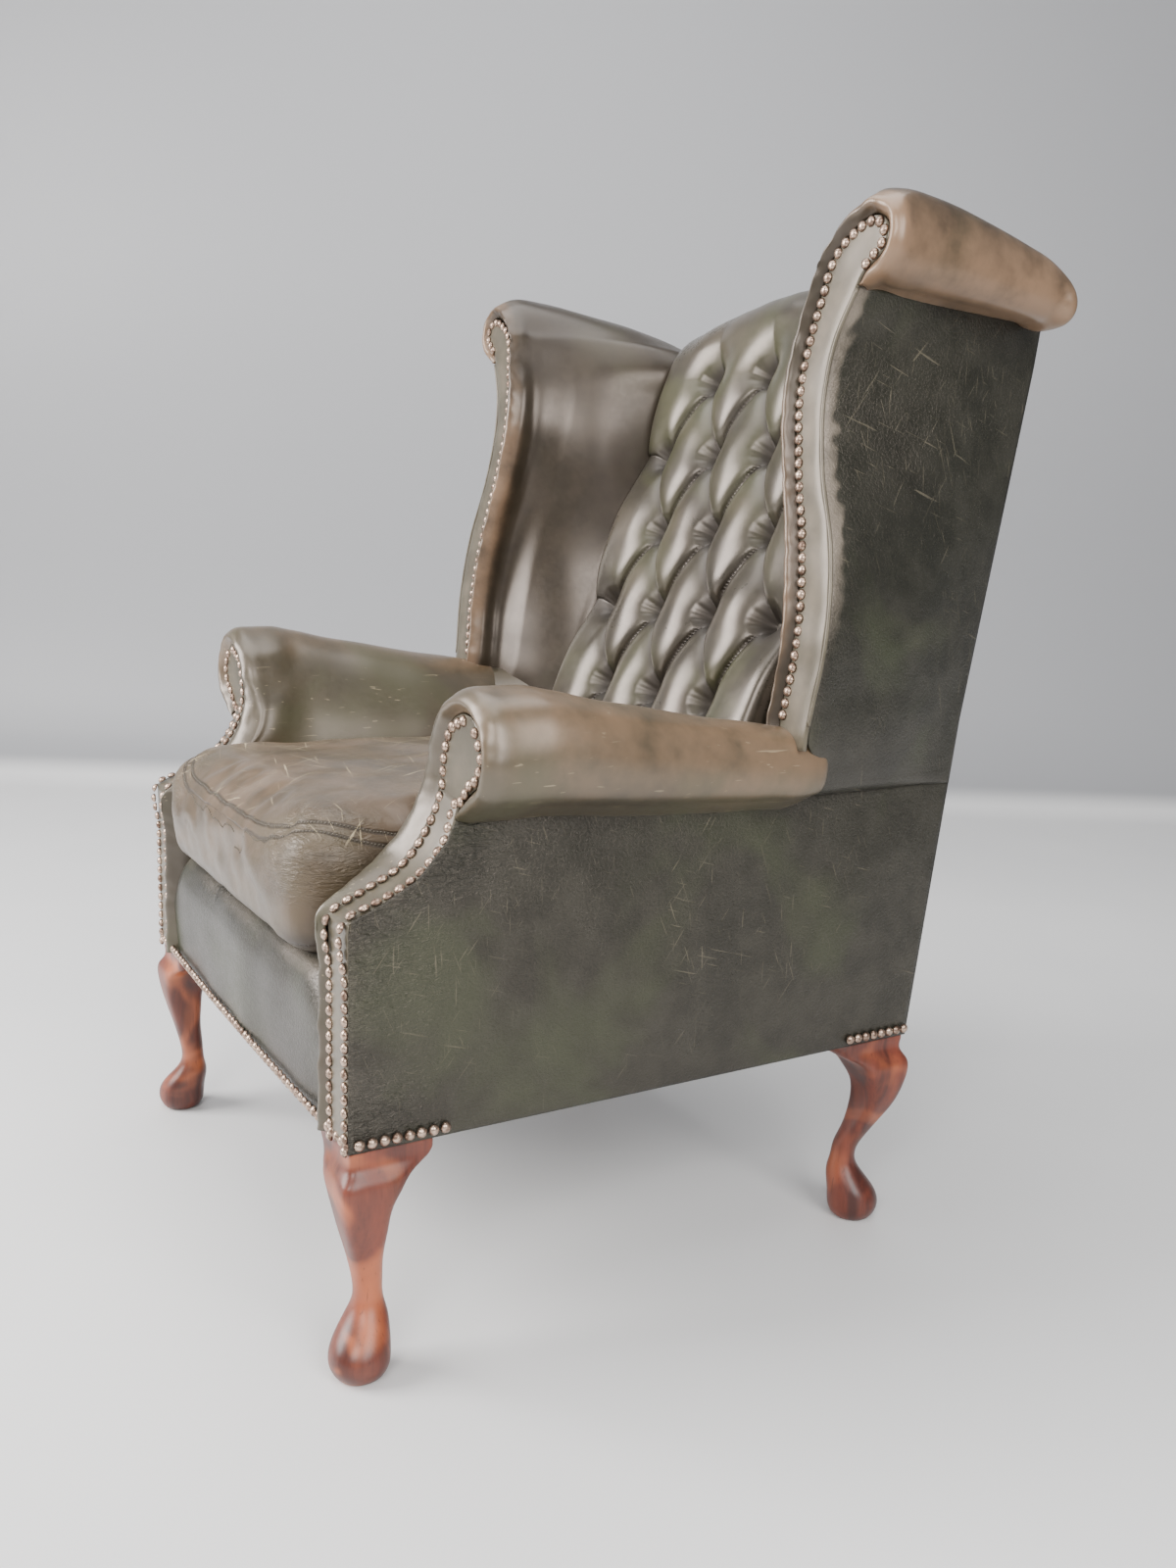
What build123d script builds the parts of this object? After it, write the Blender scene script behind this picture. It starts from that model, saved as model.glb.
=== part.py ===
# Wing armchair with a deep-buttoned back, scrolled arms and cabriole legs.
#
# Millimetres. +Z is up, the chair faces -Y and +X is the sitter's left.
# The origin lies on the floor, midway between the front and the rear of the chair.
# Depths (d) are counted rearwards from the front plane of the seat frame.
# Left-hand pieces are drawn, and the right-hand ones are their mirror images.

import math
import os

from build123d import *

os.makedirs("parts", exist_ok=True)

# Seat box
body_half_width = 338.0
rail_base_z = 222.0
rail_height = 84.0
rail_thickness = 38.0
panel_thickness = 3.0
webbing_thickness = 2.0
webbing_width = 50.0
fit_gap = 0.3
overrun = 40.0

# Arms, whose heights are counted from the seam below the roll
arm_seam_rise = 278.0
arm_thickness = 88.0
arm_mouth_flare = 20.0
arm_mouth_depth = 60.0
arm_taper_depth = 440.0
arm_junction_lap = 27.0
arm_shoulder_drop = 73.0
arm_slope_depth = 58.0
arm_slope_rise = 29.0
arm_rise_depth = 101.0
arm_rise_lift = 22.0
pad_proud = 8.0
facing_thickness = 4.0
facing_width = 46.0
stump_depth = 45.0
stump_head_lift = 23.0
arm_rail_inset = 26.0
arm_rail_lift = 30.0
arm_rail_height = 30.0
arm_rail_step = 3.0

# Arm scroll, at the front and where it meets the wing
arm_crown_out = 12.0
arm_front_crown_lift = 127.0
arm_front_reach = 52.0
arm_front_under_lift = 20.0
arm_rear_crown_lift = 71.0
arm_rear_reach = 28.0
arm_rear_under_lift = 7.0
arm_under_reach = 18.0
arm_roll_lap = 34.0
roll_end_round = 14.0
arm_head_out = 3.0
arm_head_lift = 62.0
arm_head_half_width = 43.0
arm_head_half_height = 38.0
arm_chin_out = 8.0
arm_chin_lift = 8.0
arm_neck_bulge = 3.0

# Wings
wing_lift = 13.0
wing_reach = 97.0
wing_lean = 0.106
wing_flare = 58.0
wing_waist_out = 5.0
wing_facing_width = 38.0
wing_edge_roll = 22.0
wing_edge_depth = 16.0
wing_edge_bulge = 3.0
wing_swell = 8.0
wing_foot_inset = 8.0
wing_junction_sink = 12.0
wing_post_depth = 32.0
wing_post_inset = 5.0
wing_post_outer_inset = 14.0
wing_rail_inset = 24.0
wing_rail_width = 23.0
wing_rail_height = 22.0
wing_rail_setback = 16.0

# Wing scroll, with heights counted from the wing's top seam
wing_crown_out = 37.0
wing_front_crown_lift = 86.0
wing_front_reach = 37.0
wing_front_under_lift = 4.0
wing_rear_crown_lift = 35.0
wing_rear_reach = 25.0
wing_rear_under_drop = 7.0
wing_under_reach = 11.0
wing_roll_setback = 11.0
wing_tuck_drop = 8.0
wing_head_in = 3.0
wing_head_half_width = 29.0
wing_head_lift = 61.0
wing_brow_drop = 3.0

# Back: its rear face, and how far that stands behind the tufting at the foot, bend and top
back_bend_lift = 70.0
back_height = 485.0
back_top_depth = 763.0
back_foot_thickness = 114.0
back_frame_thickness = 38.0
back_pad_thickness = 157.0
back_pad_head = 64.1
back_pad_tuck = 32.0
back_inset = 35.0
back_shoulder_lift = 33.0
back_crown_lift = 65.0
back_panel_drop = 8.0

# Tufting: the lowest button row shown, the margins beside the buttons (a share of half their
# pitch) and above them, and the relief
tuft_origin_depth = 533.0
tuft_side_share = 10 / 11
tuft_origin_lift = 63.0
tuft_top_margin = 34.85
tuft_height = 36.0
tuft_seam = 3.0
button_radius = 9.0
button_height = 4.0
button_edge = 1.5

# Seat
deck_thickness = 52.0
deck_edge_round = 8.0
border_proud = 4.0
border_thickness = 12.0
border_drop = 2.0
border_roll_depth = 42.0
cushion_side_gap = 5.0
cushion_overhang = 30.0
cushion_back_gap = 4.0
cushion_side_height = 112.0
cushion_crown = 18.0
cushion_corner_radius = 48.0
cushion_draw_in = 5.0
core_inset = 26.0
corner_block_leg = 80.0
corner_block_height = 40.0
dust_cover_thickness = 1.0

# Cabriole legs
leg_block = 80.0
leg_knee_inset = 25.0
front_ankle_inset = 38.0
front_foot_inset = 21.0
rear_ankle_inset = 56.0
rear_foot_inset = 42.0
leg_ankle_width = 27.5
leg_foot_width = 56.0
leg_corner_setback = 2.0
dowel_radius = 6.0
dowel_length = 55.0
dowel_gap = 0.1
dowel_inset = 8.0

# Heights that follow from the sizes above
rail_top_z = rail_base_z + rail_height
strap_top_z = rail_top_z + 2 * webbing_thickness
deck_top_z = strap_top_z + deck_thickness
border_top_z = deck_top_z - border_drop
cushion_edge_z = deck_top_z + cushion_side_height
back_pad_base_z = deck_top_z - back_pad_tuck
arm_seam_z = rail_base_z + arm_seam_rise
arm_shoulder_z = arm_seam_z - arm_shoulder_drop
arm_rise_z = arm_seam_z + arm_rise_lift
arm_front_crown_z = arm_seam_z + arm_front_crown_lift
arm_front_under_z = arm_seam_z + arm_front_under_lift
arm_rear_crown_z = arm_seam_z + arm_rear_crown_lift
arm_rear_under_z = arm_seam_z + arm_rear_under_lift
arm_head_z = arm_seam_z + arm_head_lift
arm_rail_base_z = arm_seam_z + arm_rail_lift
stump_top_z = arm_head_z + stump_head_lift
back_bend_z = arm_seam_z + back_bend_lift
back_top_z = arm_seam_z + back_height
back_shoulder_z = back_top_z + back_shoulder_lift
back_crown_z = back_top_z + back_crown_lift
tuft_origin_z = arm_seam_z + tuft_origin_lift
wing_base_z = arm_rear_crown_z + wing_lift
wing_post_foot_z = arm_rail_base_z + arm_rail_height
wing_seam_z = back_top_z
wing_front_crown_z = wing_seam_z + wing_front_crown_lift
wing_front_under_z = wing_seam_z + wing_front_under_lift
wing_rear_crown_z = wing_seam_z + wing_rear_crown_lift
wing_rear_under_z = wing_seam_z - wing_rear_under_drop
wing_head_top_z = wing_seam_z + wing_head_lift

# Places across the chair that follow
frame_outer_x = body_half_width - panel_thickness
frame_inner_x = frame_outer_x - rail_thickness
arm_inner_x = body_half_width - arm_thickness
arm_mouth_x = arm_inner_x + arm_mouth_flare
facing_inner_x = body_half_width - facing_width
arm_rail_inner_x = body_half_width - arm_rail_inset
arm_rail_outer_x = arm_rail_inner_x + rail_thickness
arm_crown_x = body_half_width + arm_crown_out
arm_front_outer_x = arm_crown_x + arm_front_reach
arm_rear_outer_x = arm_crown_x + arm_rear_reach
arm_under_x = arm_crown_x + arm_under_reach
arm_head_x = body_half_width + arm_head_out
wing_outer_edge_x = body_half_width + wing_flare
wing_waist_x = body_half_width + wing_waist_out
wing_crown_x = body_half_width + wing_crown_out
wing_front_outer_x = wing_crown_x + wing_front_reach
wing_rear_outer_x = wing_crown_x + wing_rear_reach
wing_under_x = wing_crown_x + wing_under_reach
wing_rail_inner_x = body_half_width - wing_rail_inset
wing_rail_outer_x = wing_rail_inner_x + wing_rail_width
wing_head_x = wing_crown_x - wing_head_in
back_half_width = arm_inner_x - back_inset
cushion_half_width = arm_inner_x - cushion_side_gap

# Depths that follow
seat_base_depth = tuft_origin_depth + back_foot_thickness
back_bend_depth = tuft_origin_depth + back_pad_thickness
back_slope = (back_top_depth - back_bend_depth) / (back_top_z - back_bend_z)
back_crown_depth = back_top_depth + back_slope * (back_crown_z - back_top_z)
tuft_slope = (back_top_depth - back_pad_head - tuft_origin_depth) / (back_top_z - tuft_origin_z)
tuft_rake = math.atan(tuft_slope)
front_y = (cushion_overhang - back_crown_depth) / 2
rail_front = border_thickness - border_proud
rail_rear = rail_front + rail_thickness - pad_proud
post_face = panel_thickness + back_frame_thickness
arm_junction_depth = tuft_origin_depth + arm_junction_lap
wing_front_depth = tuft_origin_depth - wing_reach
arm_roll_end_depth = wing_front_depth + arm_roll_lap
wing_roll_end_depth = back_top_depth - wing_roll_setback
cushion_rear_depth = tuft_origin_depth - tuft_slope * (tuft_origin_z - deck_top_z) - cushion_back_gap

# How a roll's end is rounded: shares of its radius along the roll and in from its outline
end_round_shares = ((0, 1), (0.1, 0.56), (0.3, 0.29), (0.6, 0.08), (1, 0))

# A roll's section: points of its hollow flank as shares of the flank's width and height, and
# how far out and up its round side stands between the crown, the widest point and the tuck
flank_hollow_shares = (0.09, 0.26)
flank_shoulder_shares = (0.37, 0.63)
flank_haunch_shares = (0.64, 0.87)
round_out_share = 0.74
round_up_share = 0.70

# How a roll falls towards its rear: shares of its length and of its fall, from front to rear
arm_fall_shares = ((0.15, 0.08), (0.32, 0.38), (0.5, 0.56), (0.68, 0.72), (0.86, 0.89), (1, 1))
wing_fall_shares = ((0.18, 0.02), (0.35, 0.12), (0.53, 0.27), (0.70, 0.47), (0.84, 0.71))
wing_end_fall_share = 0.2
arm_bend_share = 0.66

# Scroll heads of the facings, as shares of their half width and half height
arm_brow_shares = (0.74, 0.68)
wing_nose_share = 0.6
wing_chin_share = 0.3
wing_cheek_share = 1.1
wing_brow_share = 0.75
wing_jowl_share = 0.8


def rear_depth(z):
    """Depth of the chair's rear face at height z: two straight runs that meet at the bend."""
    if z < back_bend_z:
        foot_slope = (back_bend_depth - seat_base_depth) / (back_bend_z - rail_base_z)
        return back_bend_depth + foot_slope * (z - back_bend_z)
    return back_bend_depth + back_slope * (z - back_bend_z)


def well_depth(z):
    """Depth of the plane that the back's buttons are drawn down to."""
    return tuft_origin_depth + tuft_slope * (z - tuft_origin_z)


def wing_depth(z):
    """Depth of the wing's front plane, which leans back as it rises."""
    return wing_front_depth + wing_lean * (z - wing_base_z)


def arm_wall_x(d):
    """Inner face of the arm: a flared mouth, a straight run, and a taper in to the back."""
    if d < arm_mouth_depth:
        share = (d + pad_proud) / (arm_mouth_depth + pad_proud)
        return arm_mouth_x + (arm_inner_x - arm_mouth_x) * share
    if d < arm_taper_depth:
        return arm_inner_x
    share = min(1, (d - arm_taper_depth) / (arm_junction_depth - arm_taper_depth))
    return arm_inner_x + (back_half_width + fit_gap - arm_inner_x) * share


def side_plane(x):
    """A lengthwise plane at x, with depth to the right and height upwards."""
    return Plane(origin=(x, front_y, 0), x_dir=(0, 1, 0), z_dir=(1, 0, 0))


def cross_plane(d):
    """An upright plane across the chair at depth d, with x to the right and height upwards."""
    return Plane(origin=(0, front_y + d, 0), x_dir=(1, 0, 0), z_dir=(0, -1, 0))


def plan_plane(z):
    """A level plane at height z, with x to the right and depth away from the front."""
    return Plane(origin=(0, front_y, z), x_dir=(1, 0, 0), z_dir=(0, 0, 1))


def back_band(low_z, high_z, near, far):
    """Side outline of a piece that lies between two distances inside the chair's rear face."""
    levels = [low_z, high_z]
    if low_z < back_bend_z < high_z:
        levels = [low_z, back_bend_z, high_z]
    rear = [(rear_depth(z) - near, z) for z in levels]
    front = [(rear_depth(z) - far, z) for z in reversed(levels)]
    return rear + front


def arm_front_edges(proud, top_z):
    """Side profile of the arm's front, moved forward and up by proud: upright, slope, upright."""
    lift = proud / 2
    foot = (-proud, rail_base_z)
    shoulder = (-proud, arm_shoulder_z + lift)
    bend = (arm_slope_depth - proud, arm_shoulder_z + arm_slope_rise + lift)
    rise = (arm_rise_depth - proud, arm_rise_z + lift)
    middle = (
        bend[0] + (rise[0] - bend[0]) * arm_bend_share,
        bend[1] + (rise[1] - bend[1]) * (1 - arm_bend_share),
    )
    Line(foot, shoulder)
    Line(shoulder, bend)
    ThreePointArc(bend, middle, rise)
    Line(rise, (rise[0], top_z))
    return foot, (rise[0], top_z)


def scroll_edges(foot, crown, outer_x, under, tuck):
    """Section of a scrolled roll: a hollow flank, the roll's top and outside, and its tuck."""
    flank = []
    for out_share, up_share in (flank_hollow_shares, flank_shoulder_shares, flank_haunch_shares):
        flank_x = foot[0] + (crown[0] - foot[0]) * out_share
        flank.append((flank_x, foot[1] + (crown[1] - foot[1]) * up_share))
    hollow, shoulder, haunch = flank
    middle_z = (crown[1] + under[1]) / 2
    rise = (crown[1] - middle_z) * round_up_share
    outer = (outer_x, middle_z)
    upper = (crown[0] + (outer_x - crown[0]) * round_out_share, middle_z + rise)
    lower = (under[0] + (outer_x - under[0]) * round_out_share, middle_z - rise)
    ThreePointArc(foot, hollow, shoulder)
    ThreePointArc(shoulder, haunch, crown)
    ThreePointArc(crown, upper, outer)
    ThreePointArc(outer, lower, under)
    Line(under, tuck)
    Line(tuck, foot)


def save(shape, label):
    """Label one finished piece and write its file."""
    shape.label = label
    export_step(shape, f"parts/{label}.step")


def save_pair(shape, name):
    """Write a left-hand piece and its mirror image."""
    save(shape, f"{name}_left")
    save(mirror(shape, about=Plane.YZ), f"{name}_right")


# Seat rails, which stand on the legs
with BuildPart() as front_seat_rail:
    with BuildSketch(side_plane(-frame_inner_x)):
        with Locations((rail_front, rail_base_z)):
            Rectangle(rail_rear - rail_front, rail_height, align=(Align.MIN, Align.MIN))
    extrude(amount=2 * frame_inner_x)
save(front_seat_rail.part, "front_seat_rail")

with BuildPart() as rear_seat_rail:
    with BuildSketch(side_plane(-frame_inner_x)):
        with BuildLine():
            Polyline(*back_band(rail_base_z, rail_top_z, panel_thickness, post_face), close=True)
        make_face()
    extrude(amount=2 * frame_inner_x)
save(rear_seat_rail.part, "rear_seat_rail")

with BuildPart() as side_rail:
    with BuildSketch(side_plane(frame_inner_x)):
        with BuildLine():
            Polyline(
                (stump_depth, rail_base_z),
                (rear_depth(rail_base_z) - post_face, rail_base_z),
                (rear_depth(rail_top_z) - post_face, rail_top_z),
                (stump_depth, rail_top_z),
                close=True,
            )
        make_face()
    extrude(amount=rail_thickness)
save_pair(side_rail.part, "side_seat_rail")

# Arm stumps, cut to the sweep of the arm's front
with BuildPart() as stump:
    with BuildSketch(side_plane(frame_inner_x)):
        with BuildLine():
            front_foot, front_head = arm_front_edges(0, stump_top_z)
        with BuildLine():
            rear_foot, rear_head = arm_front_edges(-stump_depth, stump_top_z)
            Line(front_foot, rear_foot)
            Line(front_head, rear_head)
        make_face()
    extrude(amount=rail_thickness)

# Back posts and the rails between them
with BuildPart() as back_post:
    with BuildSketch(side_plane(frame_inner_x)):
        with BuildLine():
            Polyline(*back_band(rail_base_z, back_top_z, panel_thickness, post_face), close=True)
        make_face()
    extrude(amount=rail_thickness)

back_rail_levels = {
    "back_tacking_rail": (rail_top_z + rail_height, rail_top_z + rail_height + rail_thickness),
    "back_top_rail": (back_top_z - rail_thickness, back_top_z),
}
for rail_name, (low_z, high_z) in back_rail_levels.items():
    with BuildPart() as back_rail:
        with BuildSketch(side_plane(-frame_inner_x)):
            with BuildLine():
                Polyline(*back_band(low_z, high_z, panel_thickness, post_face), close=True)
            make_face()
        extrude(amount=2 * frame_inner_x)
    save(back_rail.part, rail_name)

# Arm rails, from the stump to the back post
with BuildPart() as arm_rail:
    with BuildSketch(plan_plane(arm_rail_base_z)):
        post_front = rear_depth(arm_rail_base_z) - post_face
        with BuildLine():
            Polyline(
                (arm_rail_inner_x, arm_rise_depth + stump_depth),
                (arm_rail_outer_x, arm_rise_depth + stump_depth),
                (arm_rail_outer_x, arm_taper_depth),
                (frame_outer_x - arm_rail_step, post_front),
                (frame_inner_x + arm_rail_step, post_front),
                (arm_rail_inner_x, arm_taper_depth),
                close=True,
            )
        make_face()
    extrude(amount=arm_rail_height)

# Wing outline: x of the front edge's outer seam and of the facing's inner edge.
# Each level is a share of the height from the arm to the wing's scroll, and each reach
# is a share of the way from the waist out to the widest point.
wing_level_shares = (0, 0.20, 0.40, 0.60, 0.77, 0.89, 1)
wing_reach_shares = (0.87, 1, 0.79, 0.22, 0, 0.11, 0.49)
facing_width_shares = (1.12, 1.16, 1.16, 0.97, 1.00, 1.06, 1.32)
wing_steps = 9


def smooth_share(levels, shares, position):
    """Value at a position between hand-chosen levels, on a cubic with steady slopes at them."""
    last = len(levels) - 1
    index = min(last - 1, max(i for i in range(last + 1) if levels[i] <= position))
    slopes = []
    for i in (index, index + 1):
        low, high = max(0, i - 1), min(last, i + 1)
        slopes.append((shares[high] - shares[low]) / (levels[high] - levels[low]))
    span = levels[index + 1] - levels[index]
    t = (position - levels[index]) / span
    rise = shares[index + 1] - shares[index]
    return (
        shares[index]
        + rise * t * t * (3 - 2 * t)
        + span * t * (1 - t) * (slopes[0] * (1 - t) - slopes[1] * t)
    )


wing_levels = []
wing_outer = []
wing_inner = []
for step in range(wing_steps + 1):
    height_share = step / wing_steps
    reach = smooth_share(wing_level_shares, wing_reach_shares, height_share)
    width = smooth_share(wing_level_shares, facing_width_shares, height_share)
    wing_levels.append(wing_base_z + (wing_seam_z - wing_base_z) * height_share)
    wing_outer.append(wing_waist_x + (wing_outer_edge_x - wing_waist_x) * reach)
    wing_inner.append(wing_outer[-1] - wing_facing_width * width)

wing_angle = math.atan(wing_lean)
wing_plane = Plane(
    origin=(0, front_y + wing_front_depth, wing_base_z),
    x_dir=(1, 0, 0),
    z_dir=(0, -1, wing_lean),
)


def on_wing(x, z):
    """A point of the leaning wing plane, from its x and its height."""
    return (x, (z - wing_base_z) / math.cos(wing_angle))


post_cut_width = 2 * (wing_post_depth + wing_flare + overrun)
with BuildPart() as wing_post:
    with BuildSketch(wing_plane):
        post_inner = [on_wing(x + wing_post_inset, z) for x, z in zip(wing_inner, wing_levels)]
        post_outer = [on_wing(x - wing_post_outer_inset, z) for x, z in zip(wing_outer, wing_levels)]
        post_foot_in = on_wing(arm_rail_inner_x + wing_post_inset, wing_post_foot_z)
        post_foot_out = on_wing(arm_rail_outer_x, wing_post_foot_z)
        with BuildLine():
            Spline(*post_inner)
            Line(post_inner[0], post_foot_in)
            Line(post_foot_in, post_foot_out)
            Line(post_foot_out, post_outer[0])
            Spline(*post_outer)
            Line(post_outer[-1], post_inner[-1])
        make_face()
    extrude(amount=-wing_post_depth)
    with BuildSketch(plan_plane(wing_seam_z)):
        with Locations((frame_outer_x, wing_depth(wing_seam_z))):
            Rectangle(post_cut_width, post_cut_width)
    extrude(amount=overrun, mode=Mode.SUBTRACT)
    with BuildSketch(plan_plane(wing_post_foot_z)):
        with Locations((frame_outer_x, wing_front_depth)):
            Rectangle(post_cut_width, post_cut_width)
    extrude(amount=-overrun, mode=Mode.SUBTRACT)

# Wing top rail, from the head of the wing post to the head of the back post
with BuildPart() as wing_rail:
    with BuildSketch(plan_plane(wing_seam_z)):
        with BuildLine():
            Polyline(
                (wing_rail_inner_x, wing_depth(wing_seam_z) + wing_swell),
                (wing_rail_outer_x, wing_depth(wing_seam_z) + wing_swell),
                (wing_rail_outer_x, wing_roll_end_depth - wing_rail_setback),
                (wing_rail_inner_x, wing_roll_end_depth - wing_rail_setback),
                close=True,
            )
        make_face()
    extrude(amount=wing_rail_height)

save_pair(stump.part, "arm_stump")
save_pair(back_post.part, "back_post")
save_pair(arm_rail.part, "arm_rail")
save_pair(wing_post.part, "wing_post")
save_pair(wing_rail.part, "wing_top_rail")

# Arm facing: the strip up the arm's front and the scroll-shaped head above it
head_left = arm_head_x - arm_head_half_width
head_right = arm_head_x + arm_head_half_width
head_top = arm_head_z + arm_head_half_height
facing_span = arm_front_outer_x - facing_inner_x + 2 * overrun
with BuildPart() as facing_column:
    with BuildSketch(cross_plane(arm_rise_depth + overrun)):
        with BuildLine():
            neck = (body_half_width, arm_rise_z - facing_thickness)
            chin = (arm_head_x + arm_chin_out, arm_head_z - arm_head_half_height + arm_chin_lift)
            brow = (
                arm_head_x - arm_head_half_width * arm_brow_shares[0],
                arm_head_z + arm_head_half_height * arm_brow_shares[1],
            )
            Polyline(
                (facing_inner_x, arm_seam_z),
                (facing_inner_x, rail_base_z),
                (body_half_width, rail_base_z),
                neck,
            )
            ThreePointArc(neck, (neck[0] + arm_neck_bulge, chin[1] - arm_neck_bulge), chin)
            ThreePointArc(chin, (head_right, arm_head_z), (arm_head_x, head_top))
            ThreePointArc((arm_head_x, head_top), brow, (head_left, arm_head_z))
            Line((head_left, arm_head_z), (facing_inner_x, arm_seam_z))
        make_face()
    extrude(amount=arm_rise_depth + 2 * overrun)

with BuildPart() as arm_facing:
    with BuildSketch(side_plane(facing_inner_x - overrun)):
        with BuildLine():
            band_foot, band_head = arm_front_edges(0, head_top + overrun)
        with BuildLine():
            face_foot, face_head = arm_front_edges(facing_thickness, head_top + overrun)
            Line(band_foot, face_foot)
            Line(band_head, face_head)
        make_face()
    extrude(amount=facing_span)
    add(facing_column.part, mode=Mode.INTERSECT)
save_pair(arm_facing.part, "arm_facing")

# The room that the facing takes out of the padded cover's front
with BuildPart() as facing_recess:
    with BuildSketch(side_plane(facing_inner_x - overrun)):
        with BuildLine():
            board_foot, board_head = arm_front_edges(0, head_top + overrun)
            Polyline(board_head, (-overrun, board_head[1]), (-overrun, rail_base_z), board_foot)
        make_face()
    extrude(amount=facing_span)
    add(facing_column.part, mode=Mode.INTERSECT)

# Outside arm: a flat panel from the facing back to the rear edge
with BuildPart() as outside_arm:
    with BuildSketch(side_plane(frame_outer_x)):
        with BuildLine():
            panel_foot, panel_head = arm_front_edges(0, arm_rise_z + overrun)
            rear_top = (rear_depth(arm_rise_z + overrun) - panel_thickness, arm_rise_z + overrun)
            rear_base = (rear_depth(rail_base_z) - panel_thickness, rail_base_z)
            Polyline(panel_head, rear_top, rear_base, panel_foot)
        make_face()
    extrude(amount=panel_thickness)
    with BuildSketch(plan_plane(arm_seam_z - fit_gap)):
        with Locations((body_half_width, seat_base_depth / 2)):
            Rectangle(rail_height, seat_base_depth * 2)
    extrude(amount=arm_rise_lift + 2 * overrun, mode=Mode.SUBTRACT)
save_pair(outside_arm.part, "outside_arm")

# Inside arm and arm roll, one padded cover
arm_roll_front = arm_rise_depth - pad_proud
arm_roll_stations = [
    (arm_roll_front + roll_end_round * depth_share, 0.0, roll_end_round * inset_share)
    for depth_share, inset_share in end_round_shares
]
for run_share, fall_share in arm_fall_shares:
    arm_roll_stations.append(
        (arm_roll_front + (arm_roll_end_depth - arm_roll_front) * run_share, fall_share, 0.0)
    )
with BuildPart() as inside_arm:
    for depth, fall, inset in arm_roll_stations:
        crown_z = arm_front_crown_z + (arm_rear_crown_z - arm_front_crown_z) * fall - inset
        outer_x = arm_front_outer_x + (arm_rear_outer_x - arm_front_outer_x) * fall - inset
        under_z = arm_front_under_z + (arm_rear_under_z - arm_front_under_z) * fall + inset
        with BuildSketch(cross_plane(depth)):
            with BuildLine():
                scroll_edges(
                    (arm_wall_x(depth), arm_seam_z),
                    (arm_crown_x, crown_z),
                    outer_x,
                    (arm_under_x - inset, under_z),
                    (body_half_width, arm_seam_z),
                )
            make_face()
    loft(ruled=True)
    with BuildSketch(plan_plane(strap_top_z)):
        with BuildLine():
            Polyline(
                (arm_wall_x(-overrun), -overrun),
                (arm_inner_x, arm_mouth_depth),
                (arm_inner_x, arm_taper_depth),
                (back_half_width + fit_gap, arm_junction_depth),
                (back_half_width + fit_gap, back_top_depth),
                (frame_outer_x, back_top_depth),
                (frame_outer_x, -overrun),
                close=True,
            )
        make_face()
    extrude(amount=arm_seam_z - strap_top_z)
    with BuildSketch(plan_plane(arm_seam_z)):
        with BuildLine():
            Polyline(
                (arm_wall_x(arm_roll_end_depth), arm_roll_end_depth),
                (back_half_width + fit_gap, arm_junction_depth),
                (back_half_width + fit_gap, back_top_depth),
                (frame_outer_x, back_top_depth),
                (frame_outer_x, arm_roll_end_depth),
                close=True,
            )
        make_face()
    extrude(amount=wing_base_z - arm_seam_z)
    with BuildSketch(plan_plane(rail_base_z - overrun)):
        with BuildLine():
            Polyline(
                (arm_wall_x(-overrun), -overrun),
                (arm_wall_x(rail_front), rail_front),
                (frame_inner_x, rail_front),
                (frame_inner_x, -overrun),
                close=True,
            )
        make_face()
    extrude(amount=strap_top_z - rail_base_z + overrun)
    with BuildSketch(side_plane(0)):
        with BuildLine():
            pad_foot, pad_head = arm_front_edges(pad_proud, arm_front_crown_z + overrun)
            pad_rear = post_face + webbing_thickness
            rear_line = back_band(rail_base_z, arm_front_crown_z + overrun, pad_rear, 0)
            Polyline(pad_foot, rear_line[0], rear_line[1], rear_line[2], pad_head)
        make_face()
    extrude(amount=arm_front_outer_x + overrun, mode=Mode.INTERSECT)
    add(facing_recess.part, mode=Mode.SUBTRACT)
    add(stump.part, mode=Mode.SUBTRACT)
    add(arm_rail.part, mode=Mode.SUBTRACT)
    add(wing_post.part, mode=Mode.SUBTRACT)
save_pair(inside_arm.part, "inside_arm")

# Wing facing: the strip up the wing's front edge and the small scroll at its head
with BuildPart() as wing_facing:
    with BuildSketch(wing_plane):
        inner_points = [on_wing(x, z) for x, z in zip(wing_inner, wing_levels)]
        outer_points = [on_wing(x, z) for x, z in zip(wing_outer, wing_levels)]
        head_base = inner_points[-1]
        brow = on_wing(wing_head_x, wing_head_top_z)
        nose_x = wing_head_x + wing_head_half_width
        nose = on_wing(nose_x, wing_head_top_z - wing_head_half_width * wing_nose_share)
        chin_x = wing_head_x + wing_head_half_width * wing_chin_share
        chin = on_wing(chin_x, wing_front_under_z + wing_edge_depth)
        neck = outer_points[-1]
        cheek_x = wing_head_x - wing_head_half_width * wing_cheek_share
        cheek_z = wing_front_under_z + 2 * wing_edge_roll - wing_edge_depth
        brow_x = wing_head_x + wing_head_half_width * wing_brow_share
        jowl_x = wing_head_x + wing_head_half_width * wing_jowl_share
        with BuildLine():
            Spline(*inner_points)
            ThreePointArc(head_base, on_wing(cheek_x, cheek_z), brow)
            ThreePointArc(brow, on_wing(brow_x, wing_head_top_z - wing_brow_drop), nose)
            ThreePointArc(nose, on_wing(jowl_x, wing_front_under_z + wing_edge_roll), chin)
            Line(chin, neck)
            Spline(*outer_points)
            Line(outer_points[0], inner_points[0])
        make_face()
    extrude(amount=facing_thickness)
save_pair(wing_facing.part, "wing_facing")

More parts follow.
